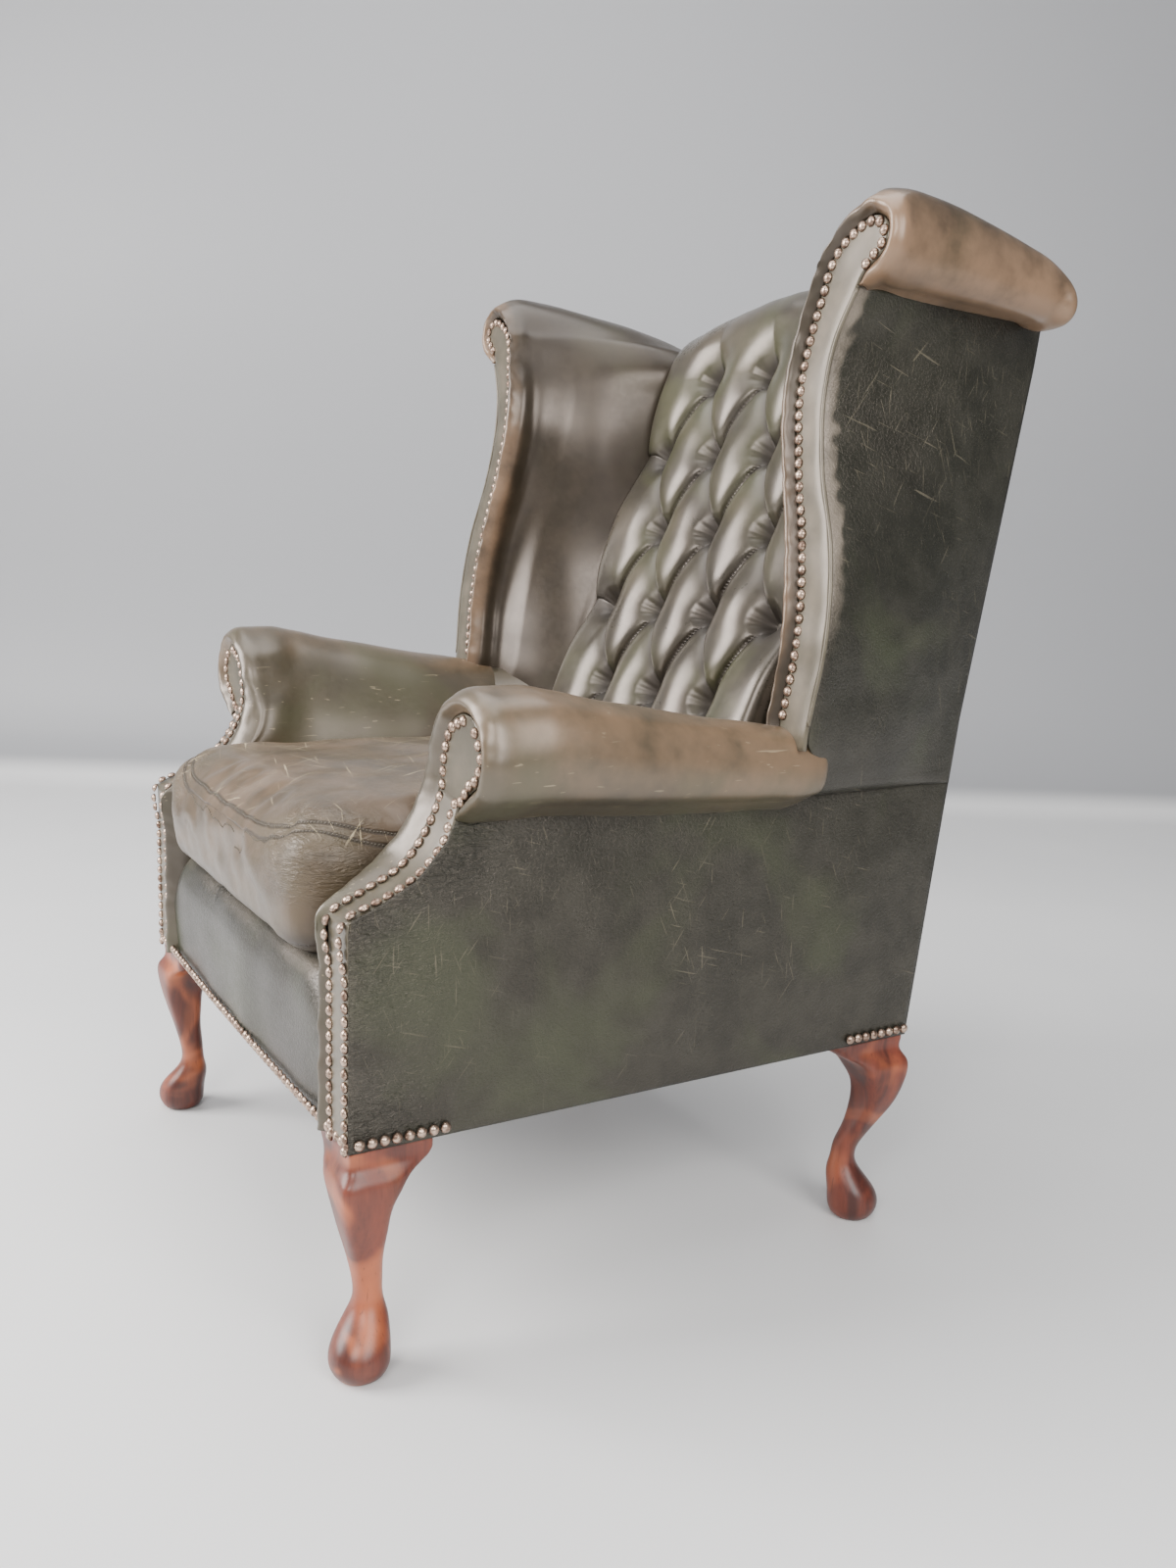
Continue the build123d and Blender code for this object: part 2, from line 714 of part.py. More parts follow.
# Outside wing: a thin panel from the wing's outer seam to the rear edge
panel_levels = [arm_seam_z + fit_gap, back_bend_z] + wing_levels
panel_outer = [body_half_width + panel_thickness, wing_outer[0] - wing_foot_inset] + wing_outer
with BuildPart() as outside_wing:
    for x, z in zip(panel_outer, panel_levels):
        top = min(z, wing_seam_z - fit_gap)
        with BuildSketch(plan_plane(top)):
            with BuildLine():
                Polyline(
                    (x, wing_depth(top)),
                    (body_half_width, rear_depth(top) - panel_thickness - fit_gap),
                    (frame_outer_x, rear_depth(top) - panel_thickness - fit_gap),
                    (x - panel_thickness, wing_depth(top)),
                    close=True,
                )
            make_face()
    loft(ruled=True)
    with BuildSketch(plan_plane(wing_base_z)):
        with Locations((frame_outer_x, arm_roll_end_depth + fit_gap)):
            cut_width = 2 * (wing_flare + overrun)
            cut_depth = arm_roll_lap + overrun
            Rectangle(cut_width, cut_depth, align=(Align.CENTER, Align.MAX))
    extrude(amount=arm_seam_z - wing_base_z - overrun, mode=Mode.SUBTRACT)
save_pair(outside_wing.part, "outside_wing")

# Inside wing: the padded lining from the edge roll in to the back
with BuildPart() as inside_wing:
    for inner, outer, z in zip(wing_inner, wing_outer, wing_levels):
        front = wing_depth(z)
        rear = rear_depth(z) - post_face - webbing_thickness
        edge_x = inner - wing_edge_roll
        edge_middle = ((inner + edge_x) / 2 - wing_edge_bulge, front - pad_proud)
        junction = (back_half_width + fit_gap, well_depth(z) + wing_junction_sink)
        roll_end = (edge_x, front + wing_edge_depth)
        swell = ((edge_x + junction[0]) / 2 - wing_swell, (roll_end[1] + junction[1]) / 2)
        with BuildSketch(plan_plane(z)):
            with BuildLine():
                Line((frame_outer_x, rear), (outer - panel_thickness - fit_gap, front))
                Line((outer - panel_thickness - fit_gap, front), (inner, front))
                ThreePointArc((inner, front), edge_middle, roll_end)
                ThreePointArc(roll_end, swell, junction)
                Line(junction, (junction[0], rear))
                Line((junction[0], rear), (frame_outer_x, rear))
            make_face()
    loft(ruled=True)
    add(wing_facing.part, mode=Mode.SUBTRACT)
    add(wing_post.part, mode=Mode.SUBTRACT)
save_pair(inside_wing.part, "inside_wing")

# Wing roll: the scroll along the wing's top
wing_top_front = wing_depth(wing_seam_z)
wing_roll_front = wing_top_front - pad_proud
wing_roll_stations = [
    (wing_roll_front + roll_end_round * depth_share, 0.0, roll_end_round * inset_share)
    for depth_share, inset_share in end_round_shares
]
for run_share, fall_share in wing_fall_shares:
    wing_roll_stations.append(
        (wing_roll_front + (wing_roll_end_depth - wing_roll_front) * run_share, fall_share, 0.0)
    )
for depth_share, inset_share in reversed(end_round_shares):
    wing_roll_stations.append(
        (
            wing_roll_end_depth - roll_end_round * depth_share,
            1 - wing_end_fall_share * depth_share,
            roll_end_round * inset_share,
        )
    )
with BuildPart() as wing_roll:
    edge_depth = wing_top_front + wing_edge_depth
    edge_x = wing_inner[-1] - wing_edge_roll
    junction_depth = well_depth(wing_seam_z) + wing_junction_sink
    for depth, fall, inset in wing_roll_stations:
        share = max(0, min(1, (depth - edge_depth) / (junction_depth - edge_depth)))
        foot_x = edge_x + (back_half_width + fit_gap - edge_x) * share
        crown_z = wing_front_crown_z + (wing_rear_crown_z - wing_front_crown_z) * fall - inset
        outer_x = wing_front_outer_x + (wing_rear_outer_x - wing_front_outer_x) * fall - inset
        under_z = wing_front_under_z + (wing_rear_under_z - wing_front_under_z) * fall + inset
        tuck_share = max(0, (depth - wing_top_front) / (back_top_depth - wing_top_front))
        tuck_x = wing_outer[-1] + (body_half_width - wing_outer[-1]) * min(1, tuck_share)
        with BuildSketch(cross_plane(depth)):
            with BuildLine():
                scroll_edges(
                    (foot_x, wing_seam_z),
                    (wing_crown_x, crown_z),
                    outer_x,
                    (wing_under_x - inset, max(under_z, wing_seam_z - wing_tuck_drop)),
                    (tuck_x, wing_seam_z),
                )
            make_face()
    loft(ruled=True)
    add(wing_facing.part, mode=Mode.SUBTRACT)
    add(wing_rail.part, mode=Mode.SUBTRACT)
save_pair(wing_roll.part, "wing_roll")

# Tufted inside back: a raked pad that folds over the top rail, with one pillow in each diamond
tuft_plane = Plane(
    origin=(0, front_y + tuft_origin_depth, tuft_origin_z),
    x_dir=(1, 0, 0),
    z_dir=(0, -math.cos(tuft_rake), math.sin(tuft_rake)),
)
half_pitch = back_half_width / (3 + tuft_side_share)
tuft_pitch_x = 2 * half_pitch
outer_button_x = 3 * half_pitch
top_row = 4
top_row_v = (back_top_z - tuft_top_margin - tuft_origin_z) / math.cos(tuft_rake)
tuft_pitch_v = top_row_v / top_row
pad_edge_x = back_half_width - tuft_seam
side_rise = tuft_pitch_v * (pad_edge_x - outer_button_x) / half_pitch
channel_rise_share = 0.64
top_edge_v = top_row_v + tuft_pitch_v * channel_rise_share
pillow_size_shares = (1, 0.86, 0.62, 0.3)
pillow_height_shares = (0, 0.55, 0.87, 1)
middle_columns = (-tuft_pitch_x, 0, tuft_pitch_x)
between_columns = (-outer_button_x, -half_pitch, half_pitch, outer_button_x)


def diamond(x, v):
    """Corners of a whole diamond between four buttons."""
    return [(x - half_pitch, v), (x, v - tuft_pitch_v), (x + half_pitch, v), (x, v + tuft_pitch_v)]


def edge_diamond(side, v):
    """Corners of the diamond beside a wing, cut off at the pad's edge; side is 1 or -1."""
    cut = tuft_pitch_v - side_rise
    points = [
        (tuft_pitch_x, v),
        (outer_button_x, v - tuft_pitch_v),
        (pad_edge_x, v - cut),
        (pad_edge_x, v + cut),
        (outer_button_x, v + tuft_pitch_v),
    ]
    return [(side * x, y) for x, y in points]


def edge_triangle(side, v):
    """Corners of the small pillow beside a wing at a row of outer buttons."""
    points = [(outer_button_x, v), (pad_edge_x, v - side_rise), (pad_edge_x, v + side_rise)]
    return [(side * x, y) for x, y in points]


def top_channel(left, right, v, low_v):
    """Corners of an upright channel that runs from the top row of buttons over the pad's top."""
    middle = (left + right) / 2
    return [(left, v), (middle, low_v), (right, v), (right, top_edge_v), (left, top_edge_v)]


pillow_outlines = []
for row in range(1, top_row, 2):
    pillow_outlines += [diamond(x, row * tuft_pitch_v) for x in middle_columns]
    pillow_outlines += [edge_triangle(side, row * tuft_pitch_v) for side in (-1, 1)]
for row in range(0, top_row, 2):
    pillow_outlines += [diamond(x, row * tuft_pitch_v) for x in (-half_pitch, half_pitch)]
    pillow_outlines += [edge_diamond(side, row * tuft_pitch_v) for side in (-1, 1)]
for left in (-tuft_pitch_x, 0):
    pillow_outlines.append(top_channel(left, left + tuft_pitch_x, top_row_v, top_row_v - tuft_pitch_v))
for side in (-1, 1):
    outer_channel = [
        (tuft_pitch_x, top_row_v),
        (outer_button_x, top_row_v - tuft_pitch_v),
        (pad_edge_x, top_row_v - tuft_pitch_v + side_rise),
        (pad_edge_x, top_edge_v),
        (tuft_pitch_x, top_edge_v),
    ]
    pillow_outlines.append([(side * x, v) for x, v in outer_channel])
for x in middle_columns:
    pillow_outlines.append([(x - half_pitch, -tuft_pitch_v), (x + half_pitch, -tuft_pitch_v), (x, 0)])

button_places = []
for row in range(top_row + 1):
    columns = between_columns if row % 2 else middle_columns
    button_places += [(x, row * tuft_pitch_v) for x in columns]


def crown_edges(half_width, base_z, drop):
    """Outline across the back's top: straight sides and one long arc, lowered by drop."""
    left = (-half_width, back_shoulder_z - drop)
    right = (half_width, back_shoulder_z - drop)
    ThreePointArc(left, (0, back_crown_z - drop), right)
    Polyline(left, (-half_width, base_z), (half_width, base_z), right)


with BuildPart() as inside_back:
    with BuildSketch(side_plane(-back_half_width)):
        rail_face = post_face + webbing_thickness
        pad_top = back_crown_z + overrun
        with BuildLine():
            Polyline(
                (well_depth(back_pad_base_z), back_pad_base_z),
                (well_depth(pad_top), pad_top),
                (rear_depth(pad_top) - panel_thickness, pad_top),
                (rear_depth(back_top_z) - panel_thickness, back_top_z),
                (rear_depth(back_top_z) - rail_face, back_top_z),
                (back_bend_depth - rail_face, back_bend_z),
                (rear_depth(back_pad_base_z) - rail_face, back_pad_base_z),
                close=True,
            )
        make_face()
    extrude(amount=2 * back_half_width)
    for outline in pillow_outlines:
        centre_x = sum(point[0] for point in outline) / len(outline)
        centre_v = sum(point[1] for point in outline) / len(outline)
        pillow_faces = []
        for size, height in zip(pillow_size_shares, pillow_height_shares):
            shrink = size * (1 - tuft_seam / half_pitch)
            with BuildSketch(tuft_plane.offset(height * tuft_height), mode=Mode.PRIVATE) as level:
                with BuildLine():
                    Polyline(
                        *[
                            (centre_x + (x - centre_x) * shrink, centre_v + (v - centre_v) * shrink)
                            for x, v in outline
                        ],
                        close=True,
                    )
                make_face()
            pillow_faces.append(level.sketch.face())
        loft(pillow_faces)
    with BuildSketch(cross_plane(back_crown_depth + overrun)):
        with BuildLine():
            crown_edges(back_half_width, back_pad_base_z, 0)
        make_face()
    extrude(amount=back_crown_depth, mode=Mode.INTERSECT)
    with Locations(tuft_plane):
        with Locations(*button_places):
            Cylinder(
                button_radius + fit_gap,
                tuft_height,
                align=(Align.CENTER, Align.CENTER, Align.MIN),
                mode=Mode.SUBTRACT,
            )
save(inside_back.part, "inside_back")

# Covered buttons, one at the bottom of each well
with BuildPart() as back_buttons:
    with Locations(tuft_plane):
        with Locations(*button_places):
            Cylinder(button_radius, button_height, align=(Align.CENTER, Align.CENTER, Align.MIN))
    with Locations(tuft_plane.offset(button_height)):
        with Locations(*button_places):
            Cone(
                button_radius,
                button_radius / 2,
                button_edge,
                align=(Align.CENTER, Align.CENTER, Align.MIN),
            )
save(back_buttons.part, "back_buttons")

# Webbing across the back frame, tacked to the posts
webbing_height_shares = (0.12, 0.3, 0.62, 0.74, 0.86)
with BuildPart() as back_webbing:
    for share in webbing_height_shares:
        band_z = rail_top_z + (back_top_z - rail_top_z) * share
        with BuildSketch(side_plane(-body_half_width + rail_thickness)):
            with BuildLine():
                band_rear = post_face + webbing_thickness
                Polyline(*back_band(band_z, band_z + webbing_width, post_face, band_rear), close=True)
            make_face()
        extrude(amount=2 * (body_half_width - rail_thickness))
save(back_webbing.part, "back_webbing")

# Outside back: one panel with the same crown as the pad, a little lower
with BuildPart() as outside_back:
    with BuildSketch(side_plane(-body_half_width)):
        with BuildLine():
            Polyline(*back_band(rail_base_z, back_crown_z, 0, panel_thickness), close=True)
        make_face()
    extrude(amount=2 * body_half_width)
    with BuildSketch(cross_plane(back_crown_depth + overrun)):
        with BuildLine():
            crown_edges(back_half_width, back_top_z, back_panel_drop)
        make_face()
        with Locations((0, rail_base_z)):
            panel_height = back_top_z - rail_base_z
            Rectangle(2 * body_half_width, panel_height, align=(Align.CENTER, Align.MIN))
    extrude(amount=back_crown_depth, mode=Mode.INTERSECT)
save(outside_back.part, "outside_back")

# Front border, rolled over the front rail. The roll's points are shares of its depth.
border_crown_share = 0.45
border_nose_shares = (0.15, 0.12)
border_heel_shares = (0.88, 0.14)
border_seam_z = border_top_z - border_roll_depth / 2
border_crown = (border_roll_depth * border_crown_share, border_top_z)
with BuildPart() as front_border:
    with BuildSketch(side_plane(-arm_mouth_x)):
        with BuildLine():
            Polyline(
                (-border_proud, border_seam_z),
                (-border_proud, rail_base_z),
                (rail_front, rail_base_z),
                (rail_front, strap_top_z),
                (border_roll_depth, strap_top_z),
                (border_roll_depth, border_seam_z),
            )
            nose = (
                border_roll_depth * border_nose_shares[0] - border_proud,
                border_top_z - border_roll_depth * border_nose_shares[1],
            )
            heel = (
                border_roll_depth * border_heel_shares[0],
                border_top_z - border_roll_depth * border_heel_shares[1],
            )
            ThreePointArc((-border_proud, border_seam_z), nose, border_crown)
            ThreePointArc(border_crown, heel, (border_roll_depth, border_seam_z))
        make_face()
    extrude(amount=2 * arm_mouth_x)
    with BuildSketch(plan_plane(rail_base_z)):
        near_x = arm_wall_x(-border_proud) - fit_gap
        far_x = arm_wall_x(border_roll_depth) - fit_gap
        with BuildLine():
            Polyline(
                (near_x, -border_proud),
                (far_x, border_roll_depth),
                (-far_x, border_roll_depth),
                (-near_x, -border_proud),
                close=True,
            )
        make_face()
    extrude(amount=border_top_z, mode=Mode.INTERSECT)
save(front_border.part, "front_border")

# Seat webbing: lengthwise straps on the rails, and crosswise straps laid over them
strap_count = 5
strap_lap = rail_thickness / 2
strap_front = rail_front + strap_lap / 2
strap_rear = rear_depth(rail_top_z) - post_face + strap_lap
length_pitch = 2 * frame_inner_x / (strap_count + 1)
cross_pitch = strap_rear / (strap_count + 1)
with BuildPart() as seat_straps_lengthwise:
    with BuildSketch(plan_plane(rail_top_z)):
        with Locations((0, (strap_front + strap_rear) / 2)):
            with GridLocations(length_pitch, cross_pitch, strap_count, 1):
                Rectangle(webbing_width, strap_rear - strap_front)
    extrude(amount=webbing_thickness)
save(seat_straps_lengthwise.part, "seat_straps_lengthwise")

with BuildPart() as seat_straps_crosswise:
    with BuildSketch(plan_plane(rail_top_z + webbing_thickness)):
        with Locations((0, (stump_depth + rear_depth(rail_top_z) - post_face) / 2)):
            with GridLocations(length_pitch, cross_pitch, 1, strap_count):
                Rectangle(2 * (frame_inner_x + strap_lap), webbing_width)
    extrude(amount=webbing_thickness)
save(seat_straps_crosswise.part, "seat_straps_crosswise")

# Padded deck under the cushion
with BuildPart() as seat_deck:
    deck_half_width = arm_wall_x(well_depth(deck_top_z)) - fit_gap
    deck_front = border_roll_depth + fit_gap
    with BuildSketch(side_plane(-deck_half_width)):
        with BuildLine():
            Polyline(
                (deck_front, strap_top_z),
                (deck_front, deck_top_z - deck_edge_round),
                (deck_front + deck_edge_round, deck_top_z),
                (well_depth(deck_top_z) - fit_gap, deck_top_z),
                (well_depth(back_pad_base_z) - fit_gap, back_pad_base_z),
                (well_depth(back_pad_base_z) - fit_gap, strap_top_z),
                close=True,
            )
        make_face()
    extrude(amount=2 * deck_half_width)
save(seat_deck.part, "seat_deck")

# Loose seat cushion: a foam core in a crowned cover whose sides draw in between the corners.
# Each level is a share of the cover's height, and each inset a share of its half width.
cushion_base_z = deck_top_z + fit_gap
cushion_height = cushion_edge_z + cushion_crown - cushion_base_z
cushion_level_shares = (0, 0.05, 0.13, 0.26, 0.42, 0.58, 0.72, 0.82, 0.88, 0.92, 0.955, 0.98, 1)
cushion_inset_shares = (0.11, 0.06, 0.025, 0.005, 0, 0, 0.008, 0.03, 0.06, 0.13, 0.25, 0.40, 0.62)


def cushion_edges(inset):
    """Outline of the cushion at one level: round corners, a full front and drawn-in sides."""
    right = cushion_half_width - inset
    front = -cushion_overhang + cushion_draw_in + inset
    rear = cushion_rear_depth - inset
    radius = min(cushion_corner_radius, right, (rear - front) / 2 - cushion_draw_in)
    bite = radius * (1 - math.sqrt(1 / 2))
    middle = (front + rear) / 2
    ThreePointArc((-right + radius, front), (0, front - cushion_draw_in), (right - radius, front))
    ThreePointArc((right - radius, front), (right - bite, front + bite), (right, front + radius))
    ThreePointArc((right, front + radius), (right - cushion_draw_in, middle), (right, rear - radius))
    ThreePointArc((right, rear - radius), (right - bite, rear - bite), (right - radius, rear))
    ThreePointArc((right - radius, rear), (0, rear - cushion_draw_in), (-right + radius, rear))
    ThreePointArc((-right + radius, rear), (-right + bite, rear - bite), (-right, rear - radius))
    ThreePointArc((-right, rear - radius), (-right + cushion_draw_in, middle), (-right, front + radius))
    ThreePointArc((-right, front + radius), (-right + bite, front + bite), (-right + radius, front))


core_middle = (cushion_rear_depth - cushion_overhang) / 2
core_width = 2 * (cushion_half_width - core_inset)
core_depth = cushion_rear_depth + cushion_overhang - 2 * core_inset
core_height = cushion_height - cushion_crown - core_inset
with BuildPart() as cushion_core:
    with BuildSketch(plan_plane(cushion_base_z + core_inset / 2)):
        with Locations((0, core_middle)):
            RectangleRounded(core_width, core_depth, core_inset)
    extrude(amount=core_height)

with BuildPart() as seat_cushion:
    for level_share, inset_share in zip(cushion_level_shares, cushion_inset_shares):
        with BuildSketch(plan_plane(cushion_base_z + cushion_height * level_share)):
            with BuildLine():
                cushion_edges(cushion_half_width * inset_share)
            make_face()
    loft(ruled=True)
    with BuildSketch(plan_plane(cushion_base_z + core_inset / 2 - fit_gap)):
        with Locations((0, core_middle)):
            RectangleRounded(core_width + 2 * fit_gap, core_depth + 2 * fit_gap, core_inset)
    extrude(amount=core_height + 2 * fit_gap, mode=Mode.SUBTRACT)
save(cushion_core.part, "cushion_core")
save(seat_cushion.part, "seat_cushion")

# Dowels that hold the legs, and the glued blocks that they enter
rear_corner_depth = rear_depth(rail_base_z) - post_face
dowel_places = [
    (side * (frame_inner_x - dowel_inset), depth)
    for side in (-1, 1)
    for depth in (rail_rear + dowel_inset, rear_corner_depth - dowel_inset)
]
dowel_rise_share = 0.75
dowel_base_z = rail_base_z + corner_block_height * dowel_rise_share - dowel_length
with BuildPart() as leg_dowels:
    with BuildSketch(plan_plane(dowel_base_z)):
        with Locations(*dowel_places):
            Circle(dowel_radius)
    extrude(amount=dowel_length)
save(leg_dowels.part, "leg_dowels")

with BuildPart() as dowel_holes:
    with BuildSketch(plan_plane(dowel_base_z - dowel_gap)):
        with Locations(*dowel_places):
            Circle(dowel_radius + dowel_gap)
    extrude(amount=dowel_length + 2 * dowel_gap)

with BuildPart() as corner_blocks:
    with BuildSketch(plan_plane(rail_base_z)):
        for side in (-1, 1):
            for depth, reach in ((rail_rear, corner_block_leg), (rear_corner_depth, -corner_block_leg)):
                with BuildLine():
                    Polyline(
                        (side * frame_inner_x, depth),
                        (side * (frame_inner_x - corner_block_leg), depth),
                        (side * frame_inner_x, depth + reach),
                        close=True,
                    )
                make_face()
    extrude(amount=corner_block_height)
    add(dowel_holes.part, mode=Mode.SUBTRACT)
save(corner_blocks.part, "corner_blocks")

# Cabriole legs, from the top block down to the pad foot. Levels are shares of the leg's height,
# and roundings shares of a level's half width. Widths are shares of the block's, the ankle's
# and the foot's, and insets run from the block to the knee, to the ankle and to the foot.
leg_height = rail_base_z
block_inset = leg_block * math.sqrt(1 / 2)
leg_corner_x = body_half_width - leg_corner_setback
block_level_shares = (1, 0.965, 0.93, 0.865, 0.81, 0.76, 0.655, 0.55)
ankle_level_shares = (0.45, 0.37, 0.30)
foot_level_shares = (0.245, 0.18, 0.10, 0.035, 0)
leg_level_shares = block_level_shares + ankle_level_shares + foot_level_shares
leg_round_shares = (0.08, 0.08, 0.08, 0.16, 0.22, 0.32, 0.45, 0.64, 0.88) + 7 * (0.97,)
block_width_shares = (1, 1, 1, 0.82, 0.74, 0.65, 0.53, 0.43)
ankle_width_shares = (1.08, 1, 1.03)
foot_width_shares = (0.66, 0.86, 1, 0.93, 0.74)
knee_inset_shares = (1.32, 1.12, 1)
ankle_inset_shares = (0.06, 0.34, 0.68, 0.94, 1)
foot_inset_shares = (0.12, 0.56, 1, 1, 1)
leg_widths = (
    [leg_block * share for share in block_width_shares]
    + [leg_ankle_width * share for share in ankle_width_shares]
    + [leg_foot_width * share for share in foot_width_shares]
)


def leg_insets(ankle, foot):
    """How far each level's centre stands in from the chair's corner, along the diagonal."""
    knee = leg_knee_inset
    upper = [block_inset] * 3 + [knee * share for share in knee_inset_shares]
    shank = [knee + (ankle - knee) * share for share in ankle_inset_shares]
    pad = [ankle + (foot - ankle) * share for share in foot_inset_shares]
    return upper + shank + pad


leg_kinds = (
    ("front_leg", 0, -1, front_ankle_inset, front_foot_inset),
    ("rear_leg", seat_base_depth - leg_corner_setback, 1, rear_ankle_inset, rear_foot_inset),
)
for leg_name, corner_depth, outward, ankle, foot in leg_kinds:
    with BuildPart() as leg:
        insets = leg_insets(ankle, foot)
        for level, width, rounding, inset in zip(leg_level_shares, leg_widths, leg_round_shares, insets):
            step = inset * math.sqrt(1 / 2)
            with BuildSketch(plan_plane(leg_height * level)):
                with Locations((leg_corner_x - step, corner_depth - outward * step)):
                    RectangleRounded(width, width, width / 2 * rounding)
        loft()
        add(dowel_holes.part, mode=Mode.SUBTRACT)
    save_pair(leg.part, leg_name)

# Dust cover under the seat, notched round the legs
with BuildPart() as dust_cover:
    notch = leg_block + leg_corner_setback + fit_gap
    cover_rear = rear_depth(rail_base_z) - panel_thickness
    with BuildSketch(plan_plane(rail_base_z)):
        with Locations((0, cover_rear / 2)):
            Rectangle(2 * frame_outer_x, cover_rear)
            with GridLocations(2 * frame_outer_x, cover_rear, 2, 2):
                Rectangle(2 * notch, 2 * notch, mode=Mode.SUBTRACT)
    extrude(amount=-dust_cover_thickness)
save(dust_cover.part, "dust_cover")
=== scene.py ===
"""Looks of a wing armchair in aged green leather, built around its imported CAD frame.

Lengths are metres. +Z is up, the chair faces -Y and +X is the sitter's left. Outlines are
written as (x, depth, height) on the sitter's left, with the depth counted rearwards from the
seat frame's front plane, and the right-hand pieces mirror them.
"""

import logging
import math
from dataclasses import dataclass, replace
from enum import Enum

import bpy
import numpy as np
from mathutils import Matrix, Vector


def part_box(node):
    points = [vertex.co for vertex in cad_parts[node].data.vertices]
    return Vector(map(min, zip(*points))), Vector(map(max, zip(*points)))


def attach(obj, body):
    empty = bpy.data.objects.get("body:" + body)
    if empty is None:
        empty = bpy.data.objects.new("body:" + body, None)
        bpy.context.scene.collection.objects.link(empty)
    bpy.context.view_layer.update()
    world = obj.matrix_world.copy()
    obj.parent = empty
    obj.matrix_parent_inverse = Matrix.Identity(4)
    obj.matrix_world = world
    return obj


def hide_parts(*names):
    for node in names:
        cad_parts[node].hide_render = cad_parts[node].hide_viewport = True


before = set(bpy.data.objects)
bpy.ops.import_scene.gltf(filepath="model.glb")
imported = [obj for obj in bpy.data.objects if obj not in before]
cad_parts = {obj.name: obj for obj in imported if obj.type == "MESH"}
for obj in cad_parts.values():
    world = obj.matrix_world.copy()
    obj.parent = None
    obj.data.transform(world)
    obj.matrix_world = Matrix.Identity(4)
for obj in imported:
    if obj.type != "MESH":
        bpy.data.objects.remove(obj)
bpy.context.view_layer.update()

log = logging.getLogger("wing_armchair")

Outline = tuple[tuple[float, ...], ...]
FRAME_BODY = "frame"
CUSHION_BODY = "cushion"


class Side(Enum):
    """Which side of the chair a piece is on, from the sitter; the value is the sign of x."""

    LEFT = 1
    RIGHT = -1

    @property
    def word(self) -> str:
        """The side as it stands at the end of a name."""
        return self.name.lower()


@dataclass(frozen=True)
class ChairLines:
    """Lines that several pieces share, in the frame's own place.

    The rake of the back and the lean of the wings repeat the frame's, and the places of the
    front plane, the side faces and the bottom edge are read from its nodes.
    """

    rake_bend_z: float = 0.570
    rake_base_depth: float = 0.647
    rake_bend_depth: float = 0.690
    rake_top_z: float = 0.985
    rake_top_depth: float = 0.763
    wing_base_z: float = 0.584
    wing_seam_z: float = 0.985
    wing_front_depth: float = 0.436
    wing_lean: float = 0.106
    wing_waist_x: float = 0.343
    wing_edge_x: float = 0.396
    facing_width: float = 0.038
    back_half_width: float = 0.215
    tuft_origin_depth: float = 0.533
    tuft_origin_z: float = 0.563
    tuft_rake: float = math.radians(21.46)
    wing_level_shares: tuple[float, ...] = (0, 0.20, 0.40, 0.60, 0.77, 0.89, 1)
    wing_reach_shares: tuple[float, ...] = (0.87, 1, 0.79, 0.22, 0, 0.11, 0.49)
    facing_width_shares: tuple[float, ...] = (1.12, 1.16, 1.16, 0.97, 1.00, 1.06, 1.32)

    @property
    def front_y(self) -> float:
        """Y of the seat frame's front plane."""
        return float(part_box("outside_arm_left")[0][1])

    @property
    def side_x(self) -> float:
        """X of the outside arm's face."""
        return float(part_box("outside_arm_left")[1][0])

    @property
    def base_z(self) -> float:
        """Height of the upholstery's bottom edge."""
        return float(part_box("outside_arm_left")[0][2])

    def rear_depth(self, z: np.ndarray | float) -> np.ndarray:
        """Depth of the chair's rear face at a height: two straight stretches with one bend."""
        slope = (self.rake_top_depth - self.rake_bend_depth) / (self.rake_top_z - self.rake_bend_z)
        low = self.rake_base_depth + (self.rake_bend_depth - self.rake_base_depth) * (
            np.asarray(z) - self.base_z
        ) / (self.rake_bend_z - self.base_z)
        high = self.rake_bend_depth + slope * (np.asarray(z) - self.rake_bend_z)
        return np.where(np.asarray(z) < self.rake_bend_z, low, high)

    def well_depth(self, z: np.ndarray | float) -> np.ndarray:
        """Depth of the tufted back's buttons at a height."""
        return self.tuft_origin_depth + math.tan(self.tuft_rake) * (np.asarray(z) - self.tuft_origin_z)

    def wing_depth(self, z: np.ndarray | float) -> np.ndarray:
        """Depth of the wing's leaning front face at a height."""
        return self.wing_front_depth + self.wing_lean * (np.asarray(z) - self.wing_base_z)

    def wing_outer(self, z: np.ndarray) -> np.ndarray:
        """X of the wing's outer seam, on a cubic through given levels."""
        share = np.clip((z - self.wing_base_z) / (self.wing_seam_z - self.wing_base_z), 0, 1)
        reach = smooth(self.wing_level_shares, self.wing_reach_shares, share)
        return self.wing_waist_x + (self.wing_edge_x - self.wing_waist_x) * reach

    def wing_inner(self, z: np.ndarray) -> np.ndarray:
        """X of the facing's inner edge: the outer seam less the strip's width there."""
        share = np.clip((z - self.wing_base_z) / (self.wing_seam_z - self.wing_base_z), 0, 1)
        width = smooth(self.wing_level_shares, self.facing_width_shares, share)
        return self.wing_outer(z) - self.facing_width * width


